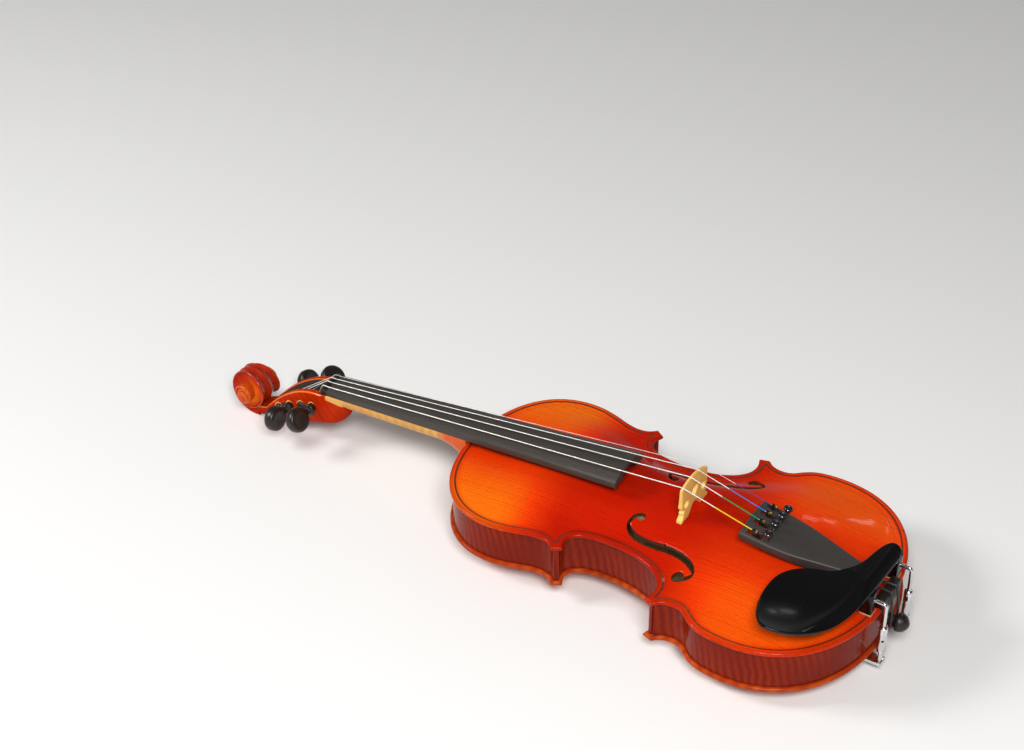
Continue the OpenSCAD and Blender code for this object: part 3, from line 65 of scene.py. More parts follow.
view = {
    "spot": (707.1, -1063.6, 1024.8),
    "azimuth": 32.977,
    "elevation": 36.493,
    "roll": -1.589,
    "lens": 73.136,
    "sensor": 36,
    "clip": (0.05, 20),
}
lamps = {
    "keyLamp": {"spot": (0.85, -1.15, 1.55), "aim": (0.05, 0, 0.03), "size": (0.8, 0.6), "power": 37,
                "colour": (1.0, 0.985, 0.96)},
    "leftLamp": {"spot": (-1.3, -0.8, 1.25), "aim": (-0.05, 0, 0.03), "size": (0.6, 0.6), "power": 20,
                 "colour": (1.0, 0.99, 0.97)},
}
ceiling = {"aim": (0.2, 0.05, 0.05), "size": (0.10, 0.08), "power": 0.22, "colour": (1.0, 0.96, 0.88)}
for i, spot in enumerate([(-0.13, 1.58, 1.28), (-0.02, 1.65, 1.23), (0.08, 1.80, 1.02)]):
    lamps["ceilingLamp.%d" % i] = {"spot": spot, **ceiling}
sky = {
    "tint": (0.97, 0.985, 1.0),
    "levels": [(0.0, 0.50), (0.22, 0.22), (0.62, 0.09), (1.0, 0.15)],  # share of the height, level
}


def linked(name, data):  # a new object in the scene
    obj = bpy.data.objects.new(name, data)
    bpy.context.scene.collection.objects.link(obj)
    return obj


def setStops(ramp, stops):  # places and colours of a colour ramp
    while len(ramp.elements) < len(stops):
        ramp.elements.new(1)
    for stop, (spot, colour) in zip(ramp.elements, stops):
        stop.position, stop.color = spot, (*colour, 1)


def setCamera():
    az, el = math.radians(view["azimuth"]), math.radians(view["elevation"])
    ahead = Vector((-math.sin(az) * math.cos(el), math.cos(az) * math.cos(el), -math.sin(el)))
    camera = linked("camera", bpy.data.cameras.new("camera"))
    camera.data.sensor_width = view["sensor"]
    camera.data.sensor_fit = "HORIZONTAL"
    camera.data.lens = view["lens"]
    camera.data.clip_start, camera.data.clip_end = view["clip"]
    turn = ahead.to_track_quat("-Z", "Y").to_matrix() @ Matrix.Rotation(math.radians(view["roll"]), 3, "Z")
    camera.matrix_world = Matrix.Translation(place(view["spot"])) @ turn.to_4x4()
    bpy.context.scene.camera = camera


def softLamp(name, spot, aim, size, power, colour):
    lamp = bpy.data.lights.new(name, "AREA")
    lamp.shape = "RECTANGLE"
    lamp.size, lamp.size_y = size
    lamp.energy = power
    lamp.color = colour
    way = (Vector(aim) - Vector(spot)).to_track_quat("-Z", "Y")
    linked(name, lamp).matrix_world = Matrix.Translation(spot) @ way.to_matrix().to_4x4()


def setSky():
    world = bpy.data.worlds.new("sky")
    world.use_nodes = True
    tree = world.node_tree
    spot = tree.nodes.new("ShaderNodeTexCoord")
    axes = tree.nodes.new("ShaderNodeSeparateXYZ")
    ramp = tree.nodes.new("ShaderNodeValToRGB")
    setStops(ramp.color_ramp, [(height, [level * c for c in sky["tint"]]) for height, level in sky["levels"]])
    tree.links.new(spot.outputs["Generated"], axes.inputs[0])
    tree.links.new(axes.outputs["Z"], ramp.inputs[0])
    tree.links.new(ramp.outputs[0], tree.nodes["Background"].inputs["Color"])
    bpy.context.scene.world = world


setCamera()
for name, lamp in lamps.items():
    softLamp(name, **lamp)
setSky()
bpy.context.scene.view_settings.view_transform = "Standard"
print("camera and lights are set")


# Finishes: a socket wrapper for sums, and one method for every other node


class Wire:
    def __init__(self, finish, socket):
        self.finish = finish
        self.socket = socket

    def sum(self, kind, *others):
        return self.finish.node("ShaderNodeMath", {"operation": kind}, dict(enumerate((self, *others))))

    def __add__(self, other):
        return self.sum("ADD", other)

    def __sub__(self, other):
        return self.sum("SUBTRACT", other)

    def __rsub__(self, other):
        return self.finish.node("ShaderNodeMath", {"operation": "SUBTRACT"}, {0: other, 1: self})

    def __mul__(self, other):
        return self.sum("MULTIPLY", other)

    def __truediv__(self, other):
        return self.sum("DIVIDE", other)

    __radd__ = __add__
    __rmul__ = __mul__

    def size(self):
        return self.sum("ABSOLUTE")

    def part(self):
        return self.sum("FRACT")

    def ripple(self):  # 0 to 1 and back with each whole number
        return (self * 6.283).sum("SINE") * 0.5 + 0.5

    def step(self, low, high):  # smooth rise from 0 at low to 1 at high
        return self.finish.node(
            "ShaderNodeMapRange",
            {"interpolation_type": "SMOOTHSTEP"},
            {"Value": self, "From Min": low, "From Max": high},
        )


class Finish:
    def __init__(self, name, sockets):
        self.material = bpy.data.materials.new(name)
        self.material.use_nodes = True
        self.tree = self.material.node_tree
        self.shader = self.tree.nodes["Principled BSDF"]
        self.surface(sockets)

    def node(self, kind, settings=None, sockets=None, out=0):
        made = self.tree.nodes.new(kind)
        for key, value in (settings or {}).items():
            if key == "stops":
                setStops(made.color_ramp, value)
            else:
                setattr(made, key, value)
        for key, value in (sockets or {}).items():
            self.join(made.inputs[key], value)
        return Wire(self, made.outputs[out])

    def join(self, socket, value):
        if isinstance(value, Wire):
            self.tree.links.new(value.socket, socket)
        elif isinstance(value, tuple) and len(value) == 3 and socket.type == "RGBA":
            socket.default_value = (*value, 1)
        else:
            socket.default_value = value

    def surface(self, sockets):
        for key, value in sockets.items():
            self.join(self.shader.inputs[key], value)

    def spot(self):
        return self.node("ShaderNodeTexCoord", out="Object")

    def mark(self, name):
        return self.node("ShaderNodeAttribute", {"attribute_name": name}, out="Vector")

    def along(self):  # length along a cord, in metres
        return self.node("ShaderNodeAttribute", {"attribute_name": "along"}, out="Fac")

    def split(self, vector):
        made = self.node("ShaderNodeSeparateXYZ", None, {0: vector})
        return [Wire(self, s) for s in made.socket.node.outputs]

    def noise(self, vector, scale, detail=2.0, rough=0.5):
        return self.node("ShaderNodeTexNoise", None,
                         {"Vector": vector, "Scale": scale, "Detail": detail, "Roughness": rough})

    def grain(self, vector, sizes, detail=2.0, rough=0.5):  # noise with a size of its own for each axis
        scaled = self.node("ShaderNodeMapping", None, {"Vector": vector, "Scale": sizes})
        return self.noise(scaled, 1.0, detail, rough)

    def mix(self, factor, first, second):
        return self.node("ShaderNodeMix", {"data_type": "RGBA"}, {0: factor, 6: first, 7: second}, 2)

    def ramp(self, factor, stops):
        return self.node("ShaderNodeValToRGB", {"stops": stops}, {0: factor})

    def bump(self, height, strength, distance):
        sockets = {"Height": height, "Strength": strength, "Distance": distance}
        self.surface({"Normal": self.node("ShaderNodeBump", None, sockets)})


varnish = {
    "red": (0.50, 0.010, 0.001),
    "orange": (0.80, 0.042, 0.002),
    "amber": (0.92, 0.160, 0.004),
    "edge": (0.25, 0.014, 0.003),
    "lateWood": (0.20, 0.006, 0.001),
    "ringPitch": 1.7,
    "roughness": 0.14,
    "sideways": (-20.0, 75.0),  # the glow grows from the middle line outwards
    "upperGlow": (114.0, 58.0),
    "lowerGlow": (195.0, 265.0),
    "lowerShare": 0.62,
}


def spruceFinish():  # straight rings along the body under a shaded varnish
    f = Finish("varnishedSpruce", {
        "Coat Weight": 0.4, "Coat Roughness": 0.06, "Coat IOR": 1.25, "Specular IOR Level": 0.02})
    plan = f.mark("plan")
    x, y, rim = f.split(plan)
    ring = y / varnish["ringPitch"] + f.grain(plan, (0.006, 0.03, 0), 1.0) * 2.4
    late = (ring + f.grain(plan, (0.0, 0.35, 0)) * 1.6).part().step(0.55, 0.98)
    dots = f.grain(plan, (0.22, 2.6, 0), 3.0, 0.65).step(0.40, 0.66)
    patch = f.grain(plan, (0.012, 0.03, 0))
    wide = y.size().step(*varnish["sideways"])
    bout = x.step(*varnish["upperGlow"]) + x.step(*varnish["lowerGlow"]) * varnish["lowerShare"]
    inland = rim.step(2.0, 12.0)
    glow = wide * bout * (inland * 0.3 + 0.7) + (patch - 0.5) * 0.24
    base = f.ramp(glow, [(0.0, varnish["red"]), (0.42, varnish["orange"]), (0.95, varnish["amber"])])
    worn = f.mix(rim.step(3.4, 1.0) * 0.5, base, varnish["edge"])
    grained = f.mix(late * dots * 0.60 + late * 0.20, worn, varnish["lateWood"])
    seam = 1.0 - y.size().step(0.05, 0.22)
    f.surface({
        "Base Color": f.mix(seam * 0.5, grained, varnish["lateWood"]),
        "Roughness": f.grain(plan, (0.05, 0.08, 0), 3.0) * 0.16 + varnish["roughness"],
    })
    f.bump(late * -0.5 + dots * late * -0.4 + patch * 0.3, 0.10, 0.0002)
    return f


def mapleFinish(name, mark, tone, across):  # flames across the grain
    f = Finish(name, {"Coat Roughness": 0.06, "Coat IOR": 1.3, "Specular IOR Level": 0.03})
    spot = f.mark(mark)
    parts = f.split(spot)
    sway = f.grain(spot, (0.03, 0.05, 0.05))
    fine = f.grain(spot, (0.12, 0.10, 0.10), 3.0, 0.6)
    flame = (across(*parts) / tone["pitch"] + sway * 1.3 + fine * 0.22).ripple()
    depth = f.grain(spot, (0.014, 0.02, 0.02), 1.0).step(0.28, 0.62)
    pores = f.grain(spot, (0.35, 3.2, 3.2), 3.0, 0.7).step(0.50, 0.72)
    base = f.mix(flame * depth * tone["flame"] + sway * (1.0 - tone["flame"]), tone["dark"], tone["light"])
    f.surface({
        "Base Color": f.mix(pores * 0.22, base, tone["dark"]),
        "Roughness": fine * 0.12 + (0.36 - tone["gloss"] * 0.20),
        "Coat Weight": 0.4 * tone["gloss"],
    })
    f.bump(pores * -0.6 + flame * 0.25, 0.08, 0.0002)
    return f, base, parts


backTone = {
    "dark": (0.30, 0.022, 0.004), "light": (0.74, 0.130, 0.012), "gloss": 1.0, "pitch": 9.5, "flame": 0.6,
    "edge": (0.24, 0.016, 0.004), "seam": (0.10, 0.008, 0.003),
}


def backFinish():
    f, base, spot = mapleFinish("varnishedBack", "plan", backTone, lambda x, y, z: x + y.size() * 0.28)
    y, rim = spot[1:]
    shaded = f.mix(rim.step(20.0, 2.0) * 0.45, base, backTone["edge"])
    seam = 1.0 - y.size().step(0.05, 0.25)
    f.surface({"Base Color": f.mix(seam * 0.7, shaded, backTone["seam"])})
    return f


ribTone = {
    "dark": (0.13, 0.006, 0.002), "light": (0.27, 0.021, 0.003), "gloss": 0.7, "pitch": 6.0, "flame": 0.6,
}


def ribFinish():
    return mapleFinish("varnishedRib", "strip", ribTone, lambda s, z, n: s + z * 0.18)[0]


varnishEdge = {"slope": 0.11, "low": (-26.6, -27.8), "chin": (-115.5, -118.5), "nut": (-134.5, -136.5)}


def varnished(spot):  # 1 where the head's varnish has begun: behind the nut, and below a line under the board
    x, z, edge = spot[0], spot[2], varnishEdge
    below = (z + x * edge["slope"]).step(*edge["low"]) * x.step(*edge["chin"])
    return 1.0 - (1.0 - below) * (1.0 - x.step(*edge["nut"]))


headTone = {
    "dark": (0.32, 0.008, 0.001), "light": (0.60, 0.042, 0.0025), "gloss": 1.0, "pitch": 7.0, "flame": 0.35,
    # orange for wear and painted light, dark red for painted shade, dark grey for the pegbox's inside
    "rubbedAndLit": (0.90, 0.20, 0.012), "paintedShade": (0.17, 0.004, 0.0006), "inside": (0.060, 0.050, 0.044),
    "bare": (0.70, 0.37, 0.110),
}


def headFinish():  # orange on the edges from wear and painted highlight, orange painted light on the scroll's beds, painted shade in its hollows; dark inside the pegbox, bare towards the neck
    f, base, spot = mapleFinish("varnishedHead", "shaft", headTone, lambda x, y, z: x * 0.8 + z * 0.6)
    # first channel: orange from wear on the edges, plus painted highlight on the edges and painted light on
    # the scroll's beds
    worn, inside, polish = f.split(f.mark("wear"))
    # painted shade in the scroll's flutes, along its beds and at the foot of its walls
    paintedShade = f.split(f.mark("shade"))[0]
    rubbedAndLit = f.grain(f.mark("shaft"), (0.25, 0.25, 0.25), 3.0, 0.6) * 0.6 + 0.6
    coloured = f.mix(paintedShade, f.mix(worn * rubbedAndLit, base, headTone["rubbedAndLit"]), headTone["paintedShade"])
    covered = varnished(spot)
    f.surface({
        "Base Color": f.mix(covered, headTone["bare"], f.mix(inside, coloured, headTone["inside"])),
        "Coat Weight": covered * (1.0 - inside) * polish + 0.02,
        "Coat IOR": 1.55,
        "Specular IOR Level": 0.0,
    })
    return f


neckTone = {
    "dark": (0.58, 0.27, 0.070), "light": (0.80, 0.46, 0.150), "gloss": 0.35, "pitch": 8.5, "flame": 0.6,
    "headRed": (0.42, 0.020, 0.002), "heelRed": (0.66, 0.085, 0.009),
}


def neckFinish():  # bare on the shaft, varnish begins at the heel and at the head
    f, base, spot = mapleFinish("neckMaple", "shaft", neckTone, lambda x, y, z: x + y * 0.2)
    heel = spot[0].step(-27.0, -14.0)
    covered = varnished(spot)
    red = f.mix(heel, neckTone["headRed"], neckTone["heelRed"])
    f.surface({
        "Base Color": f.mix(heel * 0.94 + covered, base, red),
        "Coat Weight": heel * 0.5 + covered * 0.7 + 0.06,
    })
    return f


def ebonyFinish(name, colour, streak, rough):
    f = Finish(name, {"Specular IOR Level": 0.45})
    spot = f.spot()
    grain = f.grain(spot, (22, 900, 500), 4.0, 0.65).step(0.42, 0.72)
    cloud = f.grain(spot, (14, 60, 60), 3.0)
    pores = f.grain(spot, (160, 2600, 2600), 2.0, 0.7).step(0.60, 0.74)
    f.surface({
        "Base Color": f.mix(grain * 0.55 + cloud * 0.25, colour, streak),
        "Roughness": cloud * 0.16 + grain * 0.06 + (rough - 0.10),
    })
    f.bump(pores * -0.7 + grain * 0.3, 0.16, 0.0002)
    return f


bridgeTone = {"dark": (0.74, 0.44, 0.100), "light": (0.92, 0.64, 0.190), "fleck": (0.42, 0.19, 0.040)}


def bridgeFinish():
    f = Finish("bridgeMaple", {"Specular IOR Level": 0.3})
    spot = f.spot()
    grain = f.grain(spot, (500, 60, 900), 3.0, 0.6)
    fleck = f.grain(spot, (900, 500, 2200)).step(0.60, 0.68)
    base = f.mix(grain, bridgeTone["dark"], bridgeTone["light"])
    f.surface({
        "Base Color": f.mix(fleck * 0.55, base, bridgeTone["fleck"]),
        "Roughness": grain * 0.15 + 0.40,
    })
    f.bump(grain + fleck * -0.5, 0.10, 0.0002)
    return f


def bareFinish(name, pale, deep):
    f = Finish(name, {"Specular IOR Level": 0.25})
    grain = f.grain(f.spot(), (30, 900, 300), 3.0, 0.6)
    f.surface({"Base Color": f.mix(grain, deep, pale), "Roughness": grain * 0.2 + 0.55})
    f.bump(grain, 0.12, 0.0002)
    return f


purflingTone = {"black": (0.020, 0.007, 0.004), "brown": (0.055, 0.014, 0.006), "core": (0.30, 0.085, 0.020)}


def purflingFinish():  # dark, pale, dark lines across the strip
    f = Finish("purflingLines", {"Coat Weight": 0.5, "Coat Roughness": 0.06})
    strip = f.mark("strip")
    core = 1.0 - f.split(strip)[1].size().step(0.14, 0.30)
    grain = f.grain(strip, (0.5, 6.0, 0), 3.0)
    outer = f.mix(grain, purflingTone["black"], purflingTone["brown"])
    f.surface({
        "Base Color": f.mix(core * 0.55, outer, purflingTone["core"]),
        "Roughness": grain * 0.2 + 0.22,
    })
    return f


def metalFinish(name, colour, rough):  # polished, with faint rubbing marks
    f = Finish(name, {"Metallic": 1.0})
    spot = f.spot()
    rub = f.grain(spot, (1500, 1500, 300), 3.0, 0.6)
    cloud = f.noise(spot, 140.0)
    f.surface({
        "Base Color": f.mix(cloud * 0.5, colour, tuple(c * 0.72 for c in colour)),
        "Roughness": rub * 0.12 + cloud * 0.08 + (rough - 0.08),
    })
    f.bump(rub, 0.04, 0.0001)
    return f


stringTone = {"bright": (0.95, 0.94, 0.90), "dull": (0.84, 0.83, 0.79), "wire": 0.26, "thread": 0.55}


def stringFinish():  # flat wire wound round the core
    f = Finish("stringWinding", {"Metallic": 0.45})
    turn = (f.along() * 1000.0 / stringTone["wire"]).ripple()
    dull = f.grain(f.spot(), (30, 30, 30))
    f.surface({
        "Base Color": f.mix(dull, stringTone["bright"], stringTone["dull"]),
        "Roughness": dull * 0.15 + 0.22,
    })
    f.bump(turn, 0.25, 0.00005)
    return f


def silkFinish(name, colour):  # thread lapped round the string's end
    f = Finish(name, {"Specular IOR Level": 0.3})
    turn = (f.along() * 1000.0 / stringTone["thread"]).ripple()
    fibre = f.grain(f.spot(), (2500, 2500, 2500))
    f.surface({
        "Base Color": f.mix(turn * 0.35 + fibre * 0.3, colour, tuple(c * 0.45 for c in colour)),
        "Roughness": fibre * 0.2 + 0.50,
    })
    f.bump(turn + fibre * 0.4, 0.4, 0.0001)
    return f


def mouldedFinish(name, colour, rough, skinSize, coat=0.0, shine=0.5):  # fine moulded skin
    f = Finish(name, {"Coat Weight": coat, "Coat Roughness": 0.16, "Specular IOR Level": shine})
    spot = f.spot()
    skin = f.noise(spot, skinSize)
    cloud = f.noise(spot, 45.0)
    f.surface({
        "Base Color": f.mix(cloud, colour, tuple(c * 1.35 for c in colour)),
        "Roughness": skin * 0.10 + cloud * 0.10 + (rough - 0.10),
    })
    f.bump(skin, 0.10 if rough > 0.3 else 0.012, 0.0001)
    return f


corkTone = {"dark": (0.42, 0.23, 0.10), "light": (0.62, 0.38, 0.19), "speck": (0.16, 0.08, 0.035)}


def corkFinish():
    f = Finish("corkSheet", {"Specular IOR Level": 0.2})
    spot = f.spot()
    grit = f.node("ShaderNodeTexVoronoi", {"feature": "F1"}, {"Vector": spot, "Scale": 900.0})
    speck = f.noise(spot, 1400.0, 3.0, 0.6).step(0.56, 0.66)
    base = f.mix(grit, corkTone["dark"], corkTone["light"])
    f.surface({"Base Color": f.mix(speck * 0.7, base, corkTone["speck"]), "Roughness": grit * 0.2 + 0.75})
    f.bump(grit + speck * -0.6, 0.4, 0.0003)
    return f


spruce = spruceFinish()
backMaple = backFinish()
ribMaple = ribFinish()
headMaple = headFinish()
neckMaple = neckFinish()
boardEbony = ebonyFinish("boardEbony", (0.034, 0.028, 0.023), (0.061, 0.050, 0.041), 0.52)
fittingEbony = ebonyFinish("fittingEbony", (0.009, 0.006, 0.005), (0.026, 0.016, 0.011), 0.34)
bridgeMaple = bridgeFinish()
innerWood = bareFinish("innerWood", (0.66, 0.44, 0.21), (0.50, 0.31, 0.13))
# painted shade: nearly black wood for the top's inner face and sound-hole walls, standing in for the shade
# inside the body
paintedShadeWood = bareFinish("paintedShadeWood", (0.11, 0.034, 0.009), (0.06, 0.018, 0.005))
purflingLines = purflingFinish()
stringWinding = stringFinish()
silks = {
    "g": silkFinish("yellowSilk", (0.92, 0.60, 0.012)),
    "d": silkFinish("greenSilk", (0.010, 0.30, 0.075)),
    "a": silkFinish("blueSilk", (0.045, 0.19, 0.62)),
    "e": silkFinish("violetSilk", (0.085, 0.055, 0.30)),
}
tailSkin = mouldedFinish("tailSkin", (0.031, 0.027, 0.024), 0.46, 2600.0)
cordSkin = mouldedFinish("cordSkin", (0.020, 0.020, 0.020), 0.45, 1800.0)
restGloss = mouldedFinish("restGloss", (0.0022, 0.0022, 0.0024), 0.24, 700.0, 0.28, 0.15)
tunerSteel = metalFinish("tunerSteel", (0.10, 0.10, 0.10), 0.36)
knobChrome = metalFinish("knobChrome", (0.16, 0.16, 0.17), 0.14)
ballBrass = metalFinish("ballBrass", (0.45, 0.30, 0.10), 0.30)
clampChrome = metalFinish("clampChrome", (0.78, 0.79, 0.80), 0.14)
cork = corkFinish()
print("finishes are made")


# Mesh helpers

creaseAngle = 38  # degrees past which an edge stays sharp


def dress(obj, crease, bodyName, nodes):
    obj.data.polygons.foreach_set("use_smooth", [True] * len(obj.data.polygons))
    obj.data.set_sharp_from_angle(angle=math.radians(crease))
    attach(obj, bodyName)
    if nodes:
        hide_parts(*nodes)


def cleaned(mesh, bevel=0.0, flatten=False):  # doubles merged, faces outwards, sharp edges cut by the bevel
    work = bmesh.new()
    work.from_mesh(mesh)
    bmesh.ops.remove_doubles(work, verts=work.verts, dist=2e-6)
    if flatten:
        bmesh.ops.dissolve_limit(work, angle_limit=0.02, verts=work.verts, edges=work.edges)
    bmesh.ops.recalc_face_normals(work, faces=work.faces)
    if bevel:
        sharp = [e for e in work.edges if e.calc_face_angle(0) > 0.5]
        bmesh.ops.bevel(work, geom=sharp, offset=bevel / 1000, segments=2, profile=0.5, affect="EDGES",
                        clamp_overlap=True)
    work.to_mesh(mesh)
    work.free()


def meshPiece(name, points, faces, finishes, bodyName, nodes, slotName, marks=None, picks=None,
              crease=creaseAngle, bevel=0.0):
    mesh = bpy.data.meshes.new(name)
    mesh.from_pydata([place(p) for p in points], [], faces)
    for markName, values in (marks or {}).items():
        layer = mesh.attributes.new(markName, "FLOAT_VECTOR", "POINT")
        layer.data.foreach_set("vector", np.asarray(values, float).ravel())
    for finish in finishes:
        mesh.materials.append(finish.material)
    if picks is not None:
        mesh.polygons.foreach_set("material_index", picks)
    cleaned(mesh, bevel)
    dress(linked(name, mesh), crease, bodyName, nodes)


def bez(p, t):
    s = 1 - t
    return tuple(s ** 3 * a + 3 * s * s * t * b + 3 * s * t * t * c + t ** 3 * d for a, b, c, d in zip(*p))


def bezWay(p, t):
    s = 1 - t
    return tuple(3 * s * s * (b - a) + 6 * s * t * (c - b) + 3 * t * t * (d - c) for a, b, c, d in zip(*p))


def curve(p, n, first=0):
    return [bez(p, i / n) for i in range(first, n + 1)]


def smoothLine(points, n):  # a rounded line through every point
    out, last = [], len(points) - 1
    for i in range(last):
        a, b, c, d = (np.array(points[min(max(k, 0), last)], float) for k in range(i - 1, i + 3))
        for k in range(n):
            t = k / n
            out.append(tuple(0.5 * (2 * b + (c - a) * t + (2 * a - 5 * b + 4 * c - d) * t * t
                                    + (3 * b - a - 3 * c + d) * t ** 3)))
    return out + [tuple(map(float, points[-1]))]


def wayTo(points, loop):  # distance of each point from a closed line
    pts, a = np.asarray(points, float), np.asarray(loop, float)
    d = np.roll(a, -1, 0) - a
    size = (d * d).sum(1) + 1e-12
    out = []
    for i in range(0, len(pts), 1500):
        p = pts[i:i + 1500, None, :]
        t = np.clip(((p - a) * d).sum(2) / size, 0, 1)
        out.append(np.sqrt((((a + t[..., None] * d) - p) ** 2).sum(2).min(1)))
    return np.concatenate(out)


def within(points, loop):
    p, a = np.asarray(points, float), np.asarray(loop, float)
    b = np.roll(a, -1, 0)
    hits = np.zeros(len(p), int)
    for (ax, ay), (bx, by) in zip(a, b):
        crossing = (ay > p[:, 1]) != (by > p[:, 1])
        reach = ax + (p[:, 1] - ay) / (by - ay if by != ay else 1e-12) * (bx - ax)
        hits += crossing & (p[:, 0] < reach)
    return hits % 2 == 1


def rimOf(triangles):  # edges that only one triangle has
    seen = {}
    for tri in triangles:
        for a, b in zip(tri, tri[1:] + tri[:1]):
            seen.setdefault(frozenset((a, b)), []).append((a, b))
    return [ways[0] for ways in seen.values() if len(ways) == 1]


def joined(shapes):  # outside line of several overlapping flat shapes
    spots, faces = [], []
    for shape in shapes:
        faces.append(list(range(len(spots), len(spots) + len(shape))))
        spots += [Vector(p[:2]) for p in shape]
    got = delaunay_2d_cdt(spots, [], faces, 1, 1e-5)
    after = dict(rimOf([list(t) for t in got[2]]))
    start = max(after, key=lambda i: got[0][i].x)
    loop, i = [], start
    while True:
        loop.append(tuple(got[0][i]))
        i = after[i]
        if i == start:
            return loop


def offset(loop, d):  # each point of a line that runs round to the left, moved to the right of its way
    a = np.asarray(loop, float)
    way = np.roll(a, -1, 0) - np.roll(a, 1, 0)
    way /= np.linalg.norm(way, axis=1)[:, None] + 1e-12
    return [tuple(q) for q in a + d * np.stack([way[:, 1], -way[:, 0]], 1)]


def gridIn(loop, pitch, edge):  # points in staggered rows inside a line, clear of its edge
    a = np.asarray(loop)
    xs = np.arange(a[:, 0].min(), a[:, 0].max(), pitch)
    ys = np.arange(a[:, 1].min(), a[:, 1].max(), pitch)
    spots = np.array([(x + (j % 2) * pitch / 2, y) for j, y in enumerate(ys) for x in xs])
    spots = spots[within(spots, loop)]
    return [tuple(p) for p in spots[wayTo(spots, loop) > edge]]


def clearOf(spots, loops, gap):  # the points that lie outside every line by more than the gap
    spots = np.asarray(spots, float)
    for loop in loops:
        spots = spots[(wayTo(spots, loop) > gap) & ~within(spots, loop)]
    return [tuple(p) for p in spots]


def ringsBeside(loop, steps, outer, slack):  # rings on both sides of a line, inside the outer one
    spots = []
    for d in steps:
        for hand in (1, -1):
            ring = offset(loop, hand * d)
            keep = within(ring, outer) & (wayTo(ring, loop) > d - slack)
            spots += [q for q, ok in zip(ring, keep) if ok]
    return spots


def sheetOf(loops, spots):  # flat triangles inside the first line and outside the others
    pts, shapes = [], []
    for loop in loops:
        shapes.append(list(range(len(pts), len(pts) + len(loop))))
        pts += loop
    got = delaunay_2d_cdt([Vector(p) for p in pts + spots], [], shapes, 2, 1e-6)
    return np.array([tuple(v) for v in got[0]]), [list(t) for t in got[2]]


def slab(plan, tris, high, low):  # closes a flat sheet into a solid between two heights
    n = len(plan)
    faces = tris + [[i + n for i in reversed(t)] for t in tris]
    walls = [[b, a, a + n, b + n] for a, b in rimOf(tris)]
    points = [(x, y, z) for (x, y), z in zip(plan, high)] + [(x, y, z) for (x, y), z in zip(plan, low)]
    return points, faces + walls, len(tris)


def loft(rings):  # closed skin over rings of equal count
    n = len(rings[0])
    points = [p for ring in rings for p in ring]
    faces = []
    for i in range(len(rings) - 1):
        for j in range(n):
            a, b = i * n + j, i * n + (j + 1) % n
            faces.append([a, b, b + n, a + n])
    for base, ring in ((0, rings[0]), ((len(rings) - 1) * n, rings[-1])):
        points.append(tuple(np.mean(np.asarray(ring, float), axis=0)))
        faces += [[base + j, base + (j + 1) % n, len(points) - 1] for j in range(n)]
    return points, faces


def strips(rows):  # skin over open rows of equal count
    n = len(rows[0])
    points = [p for row in rows for p in row]
    faces = [[i * n + j, i * n + j + 1, (i + 1) * n + j + 1, (i + 1) * n + j]
             for i in range(len(rows) - 1) for j in range(n - 1)]
    return points, faces


def lathe(profile, spot, axis, side, n):  # profile of (radius, height) turned about an axis
    axis = Vector(axis).normalized()
    u = Vector(side).normalized()
    v = axis.cross(u)
    turns = [2 * math.pi * k / n for k in range(n)]
    points, faces, rows = [], [], []
    for r, h in profile:
        middle = Vector(spot) + axis * h
        if r < 1e-6:
            rows.append([len(points)] * n)
            points.append(tuple(middle))
        else:
            rows.append(list(range(len(points), len(points) + n)))
            points += [tuple(middle + u * (r * math.cos(a)) + v * (r * math.sin(a))) for a in turns]
    for a, b in zip(rows, rows[1:]):
        for k in range(n):
            face = list(dict.fromkeys([a[k], a[(k + 1) % n], b[(k + 1) % n], b[k]]))
            if len(face) > 2:
                faces.append(face)
    return points, faces


def together(*parts):  # several closed skins as one mesh
    points, faces = [], []
    for p, f in parts:
        faces += [[i + len(points) for i in face] for face in f]
        points += list(p)
    return points, faces


def rounded(profile, n=4):  # softens the corners of a turned profile
    out = [profile[0]]
    for a, b, c in zip(profile, profile[1:], profile[2:]):
        a, b, c = (np.array(q, float) for q in (a, b, c))
        cut = min(0.45 * np.linalg.norm(a - b), 0.45 * np.linalg.norm(c - b), 0.7)
        p, q = b + (a - b) / np.linalg.norm(a - b) * cut, b + (c - b) / np.linalg.norm(c - b) * cut
        out += [tuple((1 - t) ** 2 * p + 2 * t * (1 - t) * b + t * t * q) for t in np.linspace(0, 1, n)]
    return out + [profile[-1]]


# Body outline: three runs on each half, with the cut-off corner tips between them

outline = {
    "length": 355.0, "upperBout": 168.4, "upperAt": 63.6, "waist": 109.0, "waistAt": 158.0,
    "lowerBout": 207.6, "lowerAt": 272.0, "upperCorner": (124.2, 79.6), "lowerCorner": (208.6, 92.9),
    "cornerWidth": 8.8, "upperTurn": 33.0, "lowerTurn": 16.0, "upperDip": (-14.5, -6.4),
    "lowerDip": (16, -5.8), "upperFull": 0.585, "lowerFull": 0.643, "fineness": 3,
}


def runOf(p, n, first):  # points along a bezier, each with its way inwards
    n *= outline["fineness"]
    steps = []
    for i in range(first, n + 1):
        d = bezWay(p, i / n)
        size = math.hypot(*d)
        steps.append((bez(p, i / n), (d[1] / size, -d[0] / size)))
    return steps


